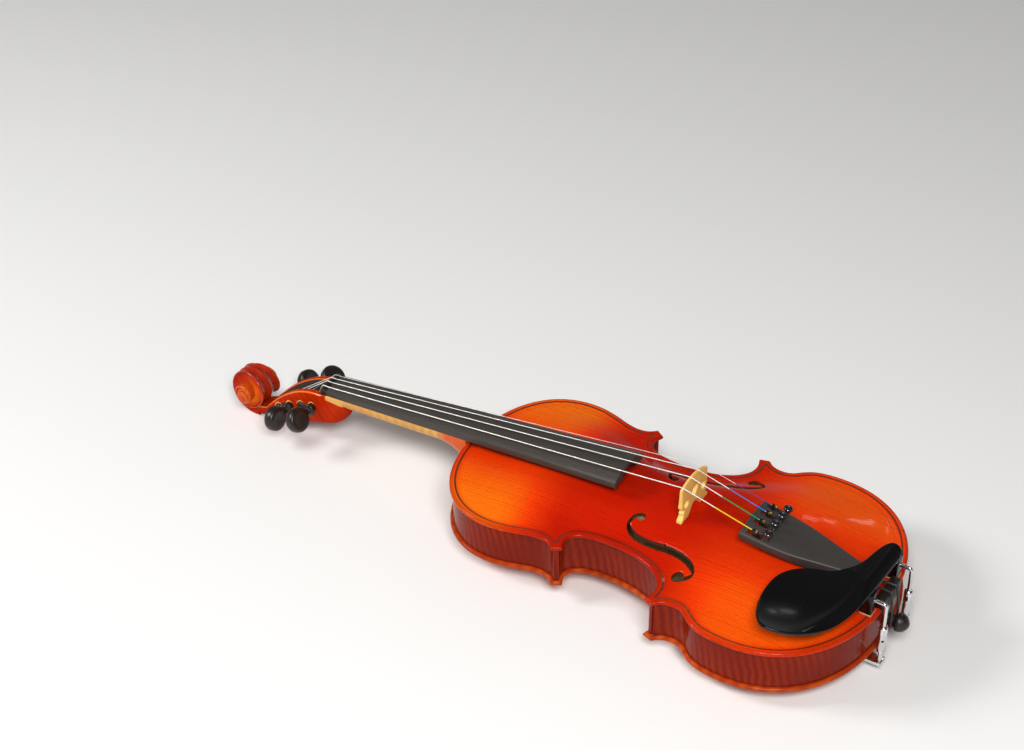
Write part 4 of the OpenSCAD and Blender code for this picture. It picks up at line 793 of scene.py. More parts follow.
def halfOutline():  # eight curves down one half, with their handles in mm
    o = outline
    uw, cw, lw = o["upperBout"] / 2, o["waist"] / 2, o["lowerBout"] / 2
    ua, la, wa = o["upperAt"], o["lowerAt"], o["waistAt"]
    ut, lt, half = math.radians(o["upperTurn"]), math.radians(o["lowerTurn"]), o["cornerWidth"] / 2

    def add(p, dx, dy):
        return (p[0] + dx, p[1] + dy)

    upA = add(o["upperCorner"], -half * math.cos(ut), half * math.sin(ut))
    upB = add(o["upperCorner"], half * math.cos(ut), -half * math.sin(ut))
    lowA = add(o["lowerCorner"], -half * math.cos(lt), -half * math.sin(lt))
    lowB = add(o["lowerCorner"], half * math.cos(lt), half * math.sin(lt))
    upDip, lowDip = add(upA, *o["upperDip"]), add(lowB, *o["lowerDip"])
    upper = (
        runOf([(0, 0), (0, o["upperFull"] * uw), (0.38 * ua, uw), (ua, uw)], 16, 0)
        + runOf([(ua, uw), (ua + 19, uw), add(upDip, -11, 0), upDip], 8, 1)
        + runOf([upDip, add(upDip, 7, 0), add(upA, -4, -4.6), upA], 6, 1)
    )
    waist = (
        runOf([upB, add(upB, -8.5, -14), (wa - 30, cw), (wa, cw)], 12, 0)
        + runOf([(wa, cw), (wa + 28, cw), add(lowA, 11.5, -24), lowA], 16, 1)
    )
    lower = (
        runOf([lowB, add(lowB, 3.5, -5), add(lowDip, -6, -1), lowDip], 6, 0)
        + runOf([lowDip, add(lowDip, 12, 2), (la - 34, lw), (la, lw)], 10, 1)
        + runOf([(la, lw), (la + 47.5, lw), (o["length"], o["lowerFull"] * lw), (o["length"], 0)], 16, 1)
    )
    return upper, waist, lower


def tipRun(a, b):  # short flat end of a corner
    way = np.array(b) - np.array(a)
    n = (way[1] / np.linalg.norm(way), -way[0] / np.linalg.norm(way))
    return [(tuple(np.array(a) + way * t), n) for t in (0.12, 0.3, 0.5, 0.7, 0.88)]


upperRun, waistRun, lowerRun = halfOutline()
upperTips, lowerTips = tipRun(upperRun[-1][0], waistRun[0][0]), tipRun(waistRun[-1][0], lowerRun[0][0])
halfRun = upperRun + upperTips + waistRun + lowerTips + lowerRun
wholeRun = halfRun + [((p[0], -p[1]), (n[0], -n[1])) for p, n in reversed(halfRun[1:-1])]
bodyLoop = [p for p, n in wholeRun]


def ringAt(d, loop):  # points at one distance inside the edge
    spots = [(p[0] + d * n[0], p[1] + d * n[1]) for p, n in wholeRun]
    return [q for q, w in zip(spots, wayTo(spots, loop)) if w > d - 0.03]


# Arched plates

plates = {
    "edge": 4.0, "ribHeight": 31.0, "wall": 3.0, "topArch": 11.5, "backArch": 14.0, "flat": 7.8,
    "archMid": 0.53 * outline["length"], "archLag": 8.0, "channel": 0.75, "channelAt": 7.0,
    "channelWide": 2.5, "roundTop": 2.3, "roundLow": 1.5, "grid": 2.7, "gridEdge": 1.2, "bareFrom": 3.2,
    "markDepth": 60, "lobe": 2.2, "archLong": 2.2, "archAcross": 2.1,
    "rings": (0.08, 0.32, 0.7, 1.2, 1.75, 2.3, 3.0, 3.9, 4.55, 5.2, 6.1, 7.1, 8.3, 9.7, 11.3),
    "buttonAt": -3.5, "buttonRadius": 10.8,
}
ribLow = -plates["edge"] - plates["ribHeight"]
backEdge = ribLow - plates["edge"]


def ease(t):
    return (1 - np.cos(np.pi * np.clip(t, 0, 1))) / 2


def lobe(t):
    return np.maximum(0.0001, 1 - np.clip(t, 0, 1) ** plates["lobe"]) ** (1 / plates["lobe"])


def archSide(x):
    o, flat = outline, plates["flat"]
    uw, cw, lw = o["upperBout"] / 2, o["waist"] / 2, o["lowerBout"] / 2
    ua, wa, la = o["upperAt"], o["waistAt"], o["lowerAt"]
    return np.select(
        [x < ua, x < wa, x < la],
        [
            (uw - flat) * lobe((ua - x) / (ua - flat)),
            uw - flat + (cw - uw) * ease((x - ua) / (wa - ua)),
            cw - flat + (lw - cw) * ease((x - wa - plates["archLag"]) / (la - wa - plates["archLag"])),
        ],
        (lw - flat) * lobe((x - la) / (o["length"] - flat - la)),
    )


def arch(x, y):
    x, y = np.asarray(x, float), np.asarray(y, float)
    mid, far = plates["archMid"], outline["length"] - plates["flat"]
    q = np.where(x > mid, (x - mid) / (far - mid), (mid - x) / (mid - plates["flat"]))
    across = np.clip(np.abs(y) / archSide(x), 0, 1)
    return (1 - ease(np.clip(q, 0, 1) ** plates["archLong"])) * (1 - ease(across ** plates["archAcross"]))


def bead(d, r):  # how far a rounded edge has come up at a distance inside it, 0 to 1
    return np.sqrt(np.maximum(0, 1 - ((r - np.minimum(d, r)) / r) ** 2))


def scoop(d):
    return plates["channel"] * np.exp(-((d - plates["channelAt"]) / plates["channelWide"]) ** 2)


def topFace(x, y, d):
    half = plates["edge"] / 2
    return plates["topArch"] * arch(x, y) - scoop(d) - half * (1 - bead(d, plates["roundTop"]))


def topInside(x, y, d):
    rise = plates["topArch"] + plates["edge"] - plates["wall"]
    return -plates["edge"] + rise * arch(x, y) + plates["edge"] / 2 * (1 - bead(d, plates["roundLow"]))


def backFace(x, y, d):
    half = plates["edge"] / 2
    return backEdge - plates["backArch"] * arch(x, y) + scoop(d) + half * (1 - bead(d, plates["roundTop"]))


def backInside(x, y, d):
    rise = plates["backArch"] + plates["edge"] - plates["wall"]
    return ribLow - rise * arch(x, y) - plates["edge"] / 2 * (1 - bead(d, plates["roundLow"]))


# Sound holes

soundHole = {
    "eyeUp": (165.0, 25.6, 3.4), "eyeLow": (215.2, 61.6, 4.5), "wingUp": (-7.4, 8.2),
    "wingLow": (10.4, -5.4), "stem": 5.4, "stemDrop": 2.6, "nick": 0.8, "edgeDrop": 0.3,
    "edgeWide": 0.9, "rings": (0.35, 0.9), "clear": 1.6,
}


def circle(x, y, r, n=44):
    turns = [2 * math.pi * k / n for k in range(n)]
    return [(x + r * math.cos(a), y + r * math.sin(a)) for a in turns]


def soundHoleLoop():  # slanting stem between two wings, with the eyes and the nicks joined on
    ux, uy, ur = soundHole["eyeUp"]
    lx, ly, lr = soundHole["eyeLow"]
    half = soundHole["stem"] / 2
    a, b = np.add((ux, uy), soundHole["wingUp"]), np.add((lx, ly), soundHole["wingLow"])
    mid = (a + b) / 2 - (0, soundHole["stemDrop"])
    near, far = mid + (0, -half), mid + (0, half)
    upTip, lowTip = a + (1.6, -1.2), b + (-1.6, 0.6)
    inner = curve([upTip, a + (8, 5.6), mid + (-14, -half - 0.8), near], 24)
    inner += curve([near, mid + (14, -half + 0.8), b + (-3, -11), b], 24, 1)
    low = curve([b, b + (1, 5), (lx + 6.4, ly + 3), (lx, ly + lr)], 14, 1)
    low += curve([(lx, ly + 1), (lx + 3, ly), b + (-3, 3), lowTip], 10)
    outer = curve([lowTip, b + (-8, -5.8), mid + (14, half + 0.8), far], 24, 1)
    outer += curve([far, mid + (-14, half - 0.8), a + (3, 10.4), a], 24, 1)
    up = curve([a, a + (-0.6, -5), (ux - 5.4, uy - 2.4), (ux, uy - ur)], 14, 1)
    up += curve([(ux, uy - 0.6), (ux - 2.4, uy), a + (2.6, -3), upTip], 10)
    nicks = [circle(mid[0] + 1.5 * s, mid[1] - s * half, soundHole["nick"], 4) for s in (-1, 1)]
    return joined([inner + low + outer + up, circle(ux, uy, ur), circle(lx, ly, lr), *nicks])


def plateMarks(plan, d):  # place on the plate and distance from its edge, for both faces
    mark = np.stack([plan[:, 0], plan[:, 1], np.minimum(d, plates["markDepth"])], 1)
    return {"plan": np.concatenate([mark, mark])}


def bareInside(d, tris):  # 1 where the plate's inner face is left without varnish
    return [0 if d[t].mean() < plates["bareFrom"] else 1 for t in tris]


def topPlate():
    hole = soundHoleLoop()
    holes = [hole, [(x, -y) for x, y in reversed(hole)]]
    spots = [q for d in plates["rings"] for q in ringAt(d, bodyLoop)]
    for loop in holes:
        for d in soundHole["rings"]:
            ring = offset(loop, d)
            spots += [q for q, w in zip(ring, wayTo(ring, loop)) if w > d - 0.05]
    free = gridIn(bodyLoop, plates["grid"], plates["rings"][-1] + plates["gridEdge"])
    plan, tris = sheetOf([bodyLoop, *holes], spots + clearOf(free, holes, soundHole["clear"]))
    d = wayTo(plan, bodyLoop)
    nearHole = np.minimum(wayTo(plan, holes[0]), wayTo(plan, holes[1]))
    drop = soundHole["edgeDrop"] * np.clip(1 - nearHole / soundHole["edgeWide"], 0, 1) ** 2
    x, y = plan[:, 0], plan[:, 1]
    points, faces, n = slab(plan, tris, topFace(x, y, d) - drop, topInside(x, y, d))
    onHole = [1 if nearHole[f[0]] < 0.01 else 0 for f in faces[2 * n:]]
    # the inner face and the sound-hole walls take the nearly black wood, painted shade for the inside of the
    # body
    meshPiece("topPlate", points, faces, [spruce, paintedShadeWood], "violin", ["top_plate"], "varnished_spruce",
              plateMarks(plan, d), [0] * n + bareInside(d, tris) + onHole)


def backPlate():
    b = plates
    loop = joined([bodyLoop, circle(b["buttonAt"], 0, b["buttonRadius"], 90)])
    spots = [q for d in b["rings"] for q in ringAt(d, loop)]
    for d in b["rings"][:8]:
        ring = circle(b["buttonAt"], 0, b["buttonRadius"] - d, 70)
        spots += [q for q, w in zip(ring, wayTo(ring, loop)) if abs(w - d) < 0.05 and q[0] < 0]
    plan, tris = sheetOf([loop], spots + gridIn(loop, b["grid"], b["rings"][-1] + b["gridEdge"]))
    d = wayTo(plan, loop)
    x, y = plan[:, 0], plan[:, 1]
    points, faces, n = slab(plan, tris, backInside(x, y, d), backFace(x, y, d))
    meshPiece("backPlate", points, faces, [backMaple, innerWood], "violin", ["back_plate"], "varnished_maple",
              plateMarks(plan, d), bareInside(d, tris) + [0] * (len(faces) - n))


# Purfling, let into both plates

purfling = {"inset": 3.9, "width": 1.3, "proud": 0.02, "depth": 1.2}


def insetLine(run, d):
    return np.array([(p[0] + d * n[0], p[1] + d * n[1]) for p, n in run])


def cornerStop(run, d, fromEnd, loop):  # where a run's inner line meets its neighbour's at a corner
    line = insetLine(run, d)
    good = [i for i, w in enumerate(wayTo(line, loop)) if w > d - 0.06]
    return max(good) if fromEnd else min(good)


def purflingStrips(name, face, side, node):
    p = purfling
    mid = p["inset"] + p["width"] / 2
    shells, marks = [], []
    sides = [-0.5, -0.26, 0.0, 0.26, 0.5]
    noTips = [q for run in (upperRun, waistRun, lowerRun) for q, n in run]
    noTips = noTips + [(x, -y) for x, y in reversed(noTips)]
    for run in (upperRun, waistRun, lowerRun):
        first, last = cornerStop(run, mid, False, noTips), cornerStop(run, mid, True, noTips)
        part = run[first:last + 1]
        for hand in (1, -1):
            rings, along, s = [], [], 0.0
            for i, (q, n) in enumerate(part):
                s += math.dist(q, part[i - 1][0]) if i else 0
                row = []
                for u in sides:
                    d = mid + u * p["width"]
                    x, y = q[0] + d * n[0], q[1] + d * n[1]
                    z = float(face(x, y, np.array(d)))
                    row.append((x, y * hand, z + side * p["proud"]))
                low = [(x, y, z - side * p["depth"]) for x, y, z in reversed(row)]
                rings.append(row + low)
                along += [(s, u * 2, 0) for u in sides + sides[::-1]]
            points, faces = loft(rings)
            marks += along + [(0, 1, 0), (0, 1, 0)]
            shells.append((points, faces))
    meshPiece(name, *together(*shells), [purflingLines], "violin", [node], "purfling_wood", {"strip": marks})


# Ribs

ribs = {"out": 2.6, "wall": 1.2, "levels": 7, "bassFrom": 400}


def ribStrip(name, run, hand, node):
    rings, marks, s = [], [], 0.0
    zs = np.linspace(ribLow, -plates["edge"], ribs["levels"])
    outside, inside = ribs["out"], ribs["out"] + ribs["wall"]
    for i, (q, n) in enumerate(run):
        s += math.dist(q, run[i - 1][0]) if i else 0
        a, b = ((q[0] + d * n[0], (q[1] + d * n[1]) * hand) for d in (outside, inside))
        rings.append([(*a, z) for z in zs] + [(*b, z) for z in zs[::-1]])
        marks += [(s + (0 if hand > 0 else ribs["bassFrom"]), z, 0) for z in [*zs, *zs[::-1]]]
    meshPiece(name, *loft(rings), [ribMaple], "violin", [node], "varnished_maple",
              {"strip": marks + [(0, 0, 0), (s, 0, 0)]})


def ribWay(run):  # leaves out what would cross at a corner
    line = insetLine(run, ribs["out"])
    return [q for q, w in zip(run, wayTo(line, bodyLoop)) if w > ribs["out"] - 0.02]


topPlate()
backPlate()
purflingStrips("topPurfling", topFace, 1, "top_purfling")
purflingStrips("backPurfling", backFace, -1, "back_purfling")
upperTip, lowerTip = ribWay(upperTips), ribWay(lowerTips)
ribRuns = {
    "upper": ribWay(upperRun) + upperTip[:3],
    "waist": upperTip[2:] + ribWay(waistRun) + lowerTip[:3],
    "lower": lowerTip[2:] + ribWay(lowerRun),
}
for hand, sideName in ((1, "treble"), (-1, "bass")):
    for bout, run in ribRuns.items():
        ribStrip(bout + "Rib." + sideName, run, hand, "rib_" + bout + "_" + sideName)
print("body is made")


# Neck and fingerboard

board = {
    "nutAt": -135.0, "end": 139.5, "topNut": -1.8, "rise": 0.124, "nutWidth": 24.0, "endWidth": 42.6,
    "round": 42.0, "side": 5.0, "hollowFrom": 20.0, "hollowRadius": 11.0, "hollowDown": 3.0, "edge": 0.6,
    "topSteps": 26, "hollowSteps": 20,
}


def boardTop(x):
    return board["topNut"] + board["rise"] * (x - board["nutAt"])


def boardHalf(x):
    share = (x - board["nutAt"]) / (board["end"] - board["nutAt"])
    return (board["nutWidth"] + (board["endWidth"] - board["nutWidth"]) * share) / 2


def boardDrop(y):
    return board["round"] - math.sqrt(board["round"] ** 2 - y * y)


def boardUnder(x):
    ends = (board["nutAt"], board["end"])
    a, b = (boardTop(q) - boardDrop(boardHalf(q)) - board["side"] for q in ends)
    return a + (b - a) * (x - ends[0]) / (ends[1] - ends[0])


def boardRing(x, hollow):
    half, under, e = boardHalf(x), boardUnder(x), board["edge"]
    ring, n = [], board["topSteps"]
    for i in range(n + 1):
        y = (half - 0.25 * e) * (1 - 2 * i / n)
        ring.append((x, y, boardTop(x) - boardDrop(y) - 0.25 * e * (abs(y) / half) ** 24))
    edgeZ = boardTop(x) - boardDrop(half)
    left = [(x, -half, edgeZ - e * 0.7), (x, -half, edgeZ * 0.5 + under * 0.5), (x, -half, under + e * 0.4),
            (x, -half + e * 0.4, under)]
    reach = math.sqrt(board["hollowRadius"] ** 2 - board["hollowDown"] ** 2)
    low, n = [], board["hollowSteps"]
    for i in range(n + 1):
        y = -reach + 2 * reach * i / n
        depth = math.sqrt(max(0, board["hollowRadius"] ** 2 - y * y)) - board["hollowDown"]
        low.append((x, y, under + (max(0, depth) if hollow else 0)))
    right = [(x, -y, z) for x, y, z in reversed(left)]
    return ring + left + low + right


def fingerboard():
    turn = board["hollowFrom"]
    rings = [boardRing(x, False) for x in np.linspace(board["nutAt"], turn, 24)]
    rings += [boardRing(x, True) for x in np.linspace(turn + 0.01, board["end"], 20)]
    meshPiece("fingerboard", *loft(rings), [boardEbony], "violin", ["fingerboard"], "ebony")


nut = {
    "from": -140.5, "to": -135.02, "over": 1.0, "spread": 17.0, "seat": 0.34, "lift": 0.7, "free": 0.05,
    "rounding": [(0.0, 1.5), (0.25, 0.9), (0.8, 0.4), (1.8, 0.1), (3.0, 0.0)],  # way from its back edge, drop
}
strand = {"g": 0.84, "d": 0.8, "a": 0.7, "e": 0.4}


def spaced(spread, i):  # place of one of four strings across a spread
    return spread / 2 * (2 * i - 3) / 3


def nutY(i):
    return spaced(nut["spread"], i)


def nutZ(i):
    return board["topNut"] - boardDrop(nutY(i)) + nut["lift"] + strand[strings[i]] / 2


def nutPiece():
    half, r = board["nutWidth"] / 2, board["round"] + nut["over"]
    ys = set(np.linspace(-half + 0.3, half - 0.3, 29))
    for i, key in enumerate(strings):
        w = strand[key] / 2 + nut["free"]
        ys |= {nutY(i) - w - 0.02, nutY(i) - w, nutY(i), nutY(i) + w, nutY(i) + w + 0.02}
    ys = sorted(ys, reverse=True)

    def section(x, cut):
        row = []
        for y in ys:
            seat = any(abs(y - nutY(i)) < strand[k] / 2 + 0.06 for i, k in enumerate(strings))
            z = board["topNut"] - board["round"] + math.sqrt(r * r - y * y)
            row.append((x, y, z - cut - (nut["seat"] if seat else 0)))
        edge = board["topNut"] - board["round"] + math.sqrt(r * r - half * half) - cut
        low = boardUnder(x) + 0.02
        return row + [(x, -half, edge - 0.5), (x, -half, low), (x, half, low), (x, half, edge - 0.5)]

    xs = [(nut["from"] + way, drop) for way, drop in nut["rounding"]]
    xs += [(nut["to"] - 0.4, 0.0), (nut["to"], 0.25)]
    meshPiece("nut", *loft([section(*q) for q in xs]), [fittingEbony], "violin", ["nut"], "ebony")


neck = {
    "from": -118.2, "end": 2.9, "deepNut": 13.0, "deepHeel": 15.5, "heelFrom": -30.0, "heelLong": 29.0,
    "heelDeep": 34.96, "heelSquare": 0.55, "heelTaper": 0.36, "around": 34, "shaftRows": 30, "heelRows": 26,
}


def heelShare(x):
    if x < neck["heelFrom"]:
        return 0.0
    return 1 - math.sqrt(max(0, 1 - min(1, (x - neck["heelFrom"]) / neck["heelLong"]) ** 2))


def neckDeep(x):
    share = min(1, (x - board["nutAt"]) / (neck["heelFrom"] - board["nutAt"]))
    d = neck["deepNut"] + (neck["deepHeel"] - neck["deepNut"]) * share
    return d + (boardUnder(x) + neck["heelDeep"] - d) * heelShare(x)


def neckRing(x):
    s = min(x, -1.0)
    h, w, deep, top = heelShare(s), boardHalf(s), neckDeep(s), boardUnder(s)
    e = 1 - neck["heelSquare"] * h
    ring = []
    for i in range(neck["around"] + 1):
        a = math.pi * i / neck["around"]
        z = max(0.0, math.sin(a)) ** e
        y = math.copysign(abs(math.cos(a)) ** e, math.cos(a))
        ring.append((x, w * y * (1 - neck["heelTaper"] * h * z), top - deep * z))
    return ring + [(x, -w / 3, top), (x, w / 3, top)]


def neckShaft():
    xs = list(np.linspace(neck["from"], neck["heelFrom"] - 1, neck["shaftRows"]))
    turns = np.linspace(0.03, math.pi / 2, neck["heelRows"])
    xs += [neck["heelFrom"] + neck["heelLong"] * math.sin(a) for a in turns] + [neck["end"]]
    points, faces = loft([neckRing(x) for x in xs])
    meshPiece("neckShaft", points, faces, [neckMaple], "violin", ["neck"], "neck_maple", {"shaft": points})


# Head: pegbox and scroll

head = {
    "boxFrom": -141.0, "depth": 30.0, "widthNut": 27.0, "widthEnd": 18.0, "cheek": 4.6, "floor": (8.0, 5.0),
    "eye": (-218.0, -39.0), "turnStart": -70.0, "turnFull": 750.0, "turnStep": 6.0, "eyeRadius": 5.6,
    "radius": 23.5, "eyeHalf": 20.5, "thinHalf": 7.0, "thinAt": 185.0, "startHalf": 9.2,
    "hollow": (-143.2, -196.2), "bend": 1.9, "throat": (16.0, -10.0), "throatSlope": 0.375,
    "chin": (-131.0, -119.0), "edge": 1.1, "flute": 1.5, "bed": 1.3, "radiusPower": 1.2,
    "halfPowers": (0.55, 1.3), "widenOver": 27.0, "squareOver": 16.0, "corner": 3.0, "wearAndLightFrom": -138.0,
    "wearAndLightOver": 4.0, "hollowEnds": (1.6, 2.4),
    "rows": [(-116.5, -118.9, 6), (-119, -119.9, 8), (-120.2, -141, 36), (-141.6, -146, 14),
             (-147.5, -192, 28), (-193, -197, 12), (-198, -212, 12)],  # from, to, count
}
throat = (head["eye"][0] + head["throat"][0], head["eye"][1] + head["throat"][1])


def turnRadius(k):
    if k >= head["turnFull"]:
        return head["eyeRadius"]
    fade = (1 - k / head["turnFull"]) ** head["radiusPower"]
    return head["eyeRadius"] + (head["radius"] - head["eyeRadius"]) * fade


def turnHalf(k):
    thin, at, full = head["thinHalf"], head["thinAt"], head["turnFull"]
    if k >= full:
        return head["eyeHalf"]
    if k > at:
        return thin + (head["eyeHalf"] - thin) * ((k - at) / (full - at)) ** head["halfPowers"][0]
    return thin + (head["startHalf"] - thin) * ((at - k) / at) ** head["halfPowers"][1]


def turnPoint(k, r, y):
    a = math.radians(head["turnStart"] - k)
    return (head["eye"][0] + r * math.cos(a), y, head["eye"][1] + r * math.sin(a))


boxTop = boardUnder(head["boxFrom"])
chin = (head["boxFrom"] - 1, boxTop - head["depth"])
backJoin = turnPoint(2, turnRadius(2) - 0.4, 0)


def boxUpper(x):  # bends down from the nut to the throat under the scroll
    if x < throat[0]:
        return throat[1] + head["throatSlope"] * (x - throat[0])
    share = max(0.0, (x - head["boxFrom"]) / (throat[0] - head["boxFrom"]))
    return boxTop + (throat[1] - boxTop) * share ** head["bend"]


def boxLower(x):
    return chin[1] + (backJoin[2] - chin[1]) * (x - chin[0]) / (backJoin[0] - chin[0])


def boxHalf(x):
    span = (head["boxFrom"] - x) / (head["boxFrom"] - throat[0])
    return (head["widthNut"] + (head["widthEnd"] - head["widthNut"]) * span) / 2


def smooth(t):
    t = min(1.0, max(0.0, t))
    return t * t * (3 - 2 * t)


def headRing(x):  # section through the pegbox, with marks for the edges, made orange by wear and painted highlight, and for the dark inside
    e, (a, b), (thick, thin) = head["edge"], head["hollow"], head["floor"]
    widened = smooth((head["chin"][1] - x) / head["widenOver"])
    half = boardHalf(x) * (1 - widened) + boxHalf(min(x, head["boxFrom"])) * widened
    top = boardUnder(x) if x > head["boxFrom"] else boxUpper(x)
    s = math.sqrt(1 - min(1.0, max(0.0, (x - head["chin"][0]) / (head["chin"][1] - head["chin"][0]))) ** 2)
    low = (boardUnder(x) - neckDeep(x)) * (1 - s) + boxLower(min(x, head["chin"][0] - 3)) * s
    q, c = smooth((head["chin"][1] - x) / head["squareOver"]), head["corner"]
    rx, rz = half * (1 - q) + c * q, (top - low) * 0.98 * (1 - q) + c * q
    hole = smooth((a - x) / head["hollowEnds"][0]) * smooth((x - b) / head["hollowEnds"][1])
    inner = half - head["cheek"]
    floor = top - (top - boxLower(x) - thick + (thick - thin) * min(1, max(0, (a - x) / (a - b)))) * hole
    k = min(1.0, (top - floor) / 5)
    w = smooth((head["wearAndLightFrom"] - x) / head["wearAndLightOver"])
    side = [(0, floor, 0, k), (inner * 0.5, floor, 0, k), (inner - 1.6, floor + 0.1 * k, 0, k),
            (inner - 0.3, floor + 0.6 * k, 0, k), (inner, floor + 2.2 * k, 0, k),
            (inner, (floor + top) / 2, 0, k), (inner, top - 1.3 * k, 0, k),
            (inner, top - 0.7 * k, 0.4 * w, 0), (inner + 0.3, top - 0.12 * k, 0.9 * w, 0),
            (inner + 0.7, top + 0.04 * k, 0, 0), (half - e, top + 0.04 * k, 0, 0),
            (half - e * 0.55, top - 0.12 * q, 0.7 * w, 0), (half - e * 0.18, top - e * 0.42 * q, w, 0),
            (half - 0.02, top - e * q - 0.02, 0.6 * w, 0), (half, top - e * 1.4 * q - 0.04, 0, 0)]
    foot, brow = low + rz, top - e * 1.6
    if foot < brow - 1:
        side += [(half, brow - (brow - foot) * t, 0, 0) for t in (0.25, 0.5, 0.75)]
    else:
        side += [(half, top - e * 1.5 * q - 0.05 - 0.01 * t, 0, 0) for t in (1, 2, 3)]
    for i in range(13):
        turn = math.pi / 2 * i / 12
        z = min(low + rz * (1 - math.sin(turn)), side[-1][1])
        side.append((half - rx * (1 - math.cos(turn)), z, 0, 0))
    flat = half - rx
    for t in (0.85, 0.7, 0.55, 0.4, 0.25, 0.12, 0.0):
        side.append((flat * t, low + head["flute"] * q * math.sin(math.pi * t) ** 1.3, 0, 0))
    ring = [((x, y, z), (worn, inside, 0.06 + 0.94 * worn)) for y, z, worn, inside in side]
    return ring + [((x, -y, z), mark) for (x, y, z), mark in reversed(ring[1:-1])]


def headBox():
    rings = [headRing(x) for row in head["rows"] for x in np.linspace(*row)]
    points, faces = loft([[p for p, m in ring] for ring in rings])
    marks = [m for ring in rings for p, m in ring] + [(0, 0, 0)] * 2
    return points, faces, marks, [(0, 0, 0)] * len(points)


def scroll():  # one spiral skin: rim of the first turn, then bed and wall of each turn out to the eye
    step, full, e = head["turnStep"], head["turnFull"], head["edge"]
    arc = [(1 - math.sin(a), 1 - math.cos(a)) for a in np.linspace(math.pi / 2, 0, 6)]
    across = np.linspace(-1, 1, 29)
    dips = [math.sin(math.pi * abs(t)) ** 1.3 for t in across]
    parts, marks, shades, rim = [], [], [], []
    for i in range(int(360 / step) + 1):
        k = i * step
        r, w = turnRadius(k), turnHalf(k)
        row = [turnPoint(k, r - head["flute"] * q, t * (w - e)) for t, q in zip(across, dips)]
        # painted shade in the rim's flutes
        shades += [(0, 0, 0)] * 5 + [(0.45 * q, 0, 0) for q in dips] + [(0, 0, 0)] * 5
        corner = [(r - e * q, w - e * y) for y, q in reversed(arc[:-1])]
        left = [turnPoint(k, q, -y) for q, y in reversed(corner)]
        rim.append(left + row + [turnPoint(k, q, y) for q, y in corner])
    parts.append(strips(rim))
    marks += [(0, 0, 1)] * len(shades)
    for hand in (1, -1):
        bed, wall, dome = [], [], []
        for i in range(int(full / step) + 1):
            k = i * step
            r, w, inner = turnRadius(k) - e, turnHalf(k), turnRadius(k + 360)
            row = []
            for t in np.linspace(0, 1, 11):
                dip = head["bed"] * math.sin(math.pi * t ** 0.8) * min(1, (r - inner) / 6)
                row.append(turnPoint(k, r + (inner - r) * t, hand * (w - dip)))
                # painted light: each bed turns orange towards its inner wall
                marks.append((0.7 * smooth((k - 150) / 160) * t, 0, 0.10))
                # painted shade along the bed's outer edge
                shades.append((0.35 * smooth(1 - t * 4), 0, 0))
            bed.append(row)
        for i in range(int(360 / step), int((full + 360) / step) + 1):
            k = i * step
            r, w, foot = turnRadius(k), turnHalf(k), turnHalf(k - 360)
            tall = w - foot
            c = min(e, tall * 0.4)
            levels = [(r, foot), (r - 0.15, foot + 0.3 * (tall - c)), (r - 0.15, foot + 0.65 * (tall - c))]
            levels += [(r - e * q, w - c * y) for y, q in reversed(arc)]
            wall.append([turnPoint(k, q, hand * y) for q, y in levels])
            marks += [(0.35, 0, 0.3 if j < 3 else 1.0) for j in range(len(levels))]
            # painted shade at the foot of each wall
            shades += [(0.6 - 0.2 * j if j < 3 else 0, 0, 0) for j in range(len(levels))]
        for t in np.linspace(0, 1, 8):
            q, y = (head["eyeRadius"] - e) * (1 - t), head["eyeHalf"] + 0.9 * math.sin(math.pi / 2 * t)
            dome.append([turnPoint(full + 360 * j / 60, q, hand * y) for j in range(61)])
            marks += [(0.2, 0, 0.4)] * 61
            shades += [(0, 0, 0)] * 61
        parts += [strips(bed), strips(wall), strips(dome)]
    return *together(*parts), marks, shades


fingerboard()
nutPiece()
neckShaft()
for name, (points, faces, marks, shades) in (("pegbox", headBox()), ("scroll", scroll())):
    meshPiece(name, points, faces, [headMaple], "violin", ["neck"], "varnished_maple",
              {"wear": marks, "shade": shades, "shaft": points}, crease=34)
print("neck and head are made")


# Pegs

peg = {
    "first": 14.5, "step": 12.4, "dia": 7.4, "collar": 11.6, "reach": 31.0, "headDia": 21.0, "headHalf": 4.4,
    "height": (0.53, 0.47), "pip": 1.7,
}
pegRow = {"g": (0, -1, 25), "e": (1, 1, 55), "d": (2, -1, 10), "a": (3, 1, 30)}  # place, side, turn


def pegSpot(key):
    x = board["nutAt"] - peg["first"] - peg["step"] * pegRow[key][0]
    return x, boxUpper(x) * peg["height"][0] + boxLower(x) * peg["height"][1]


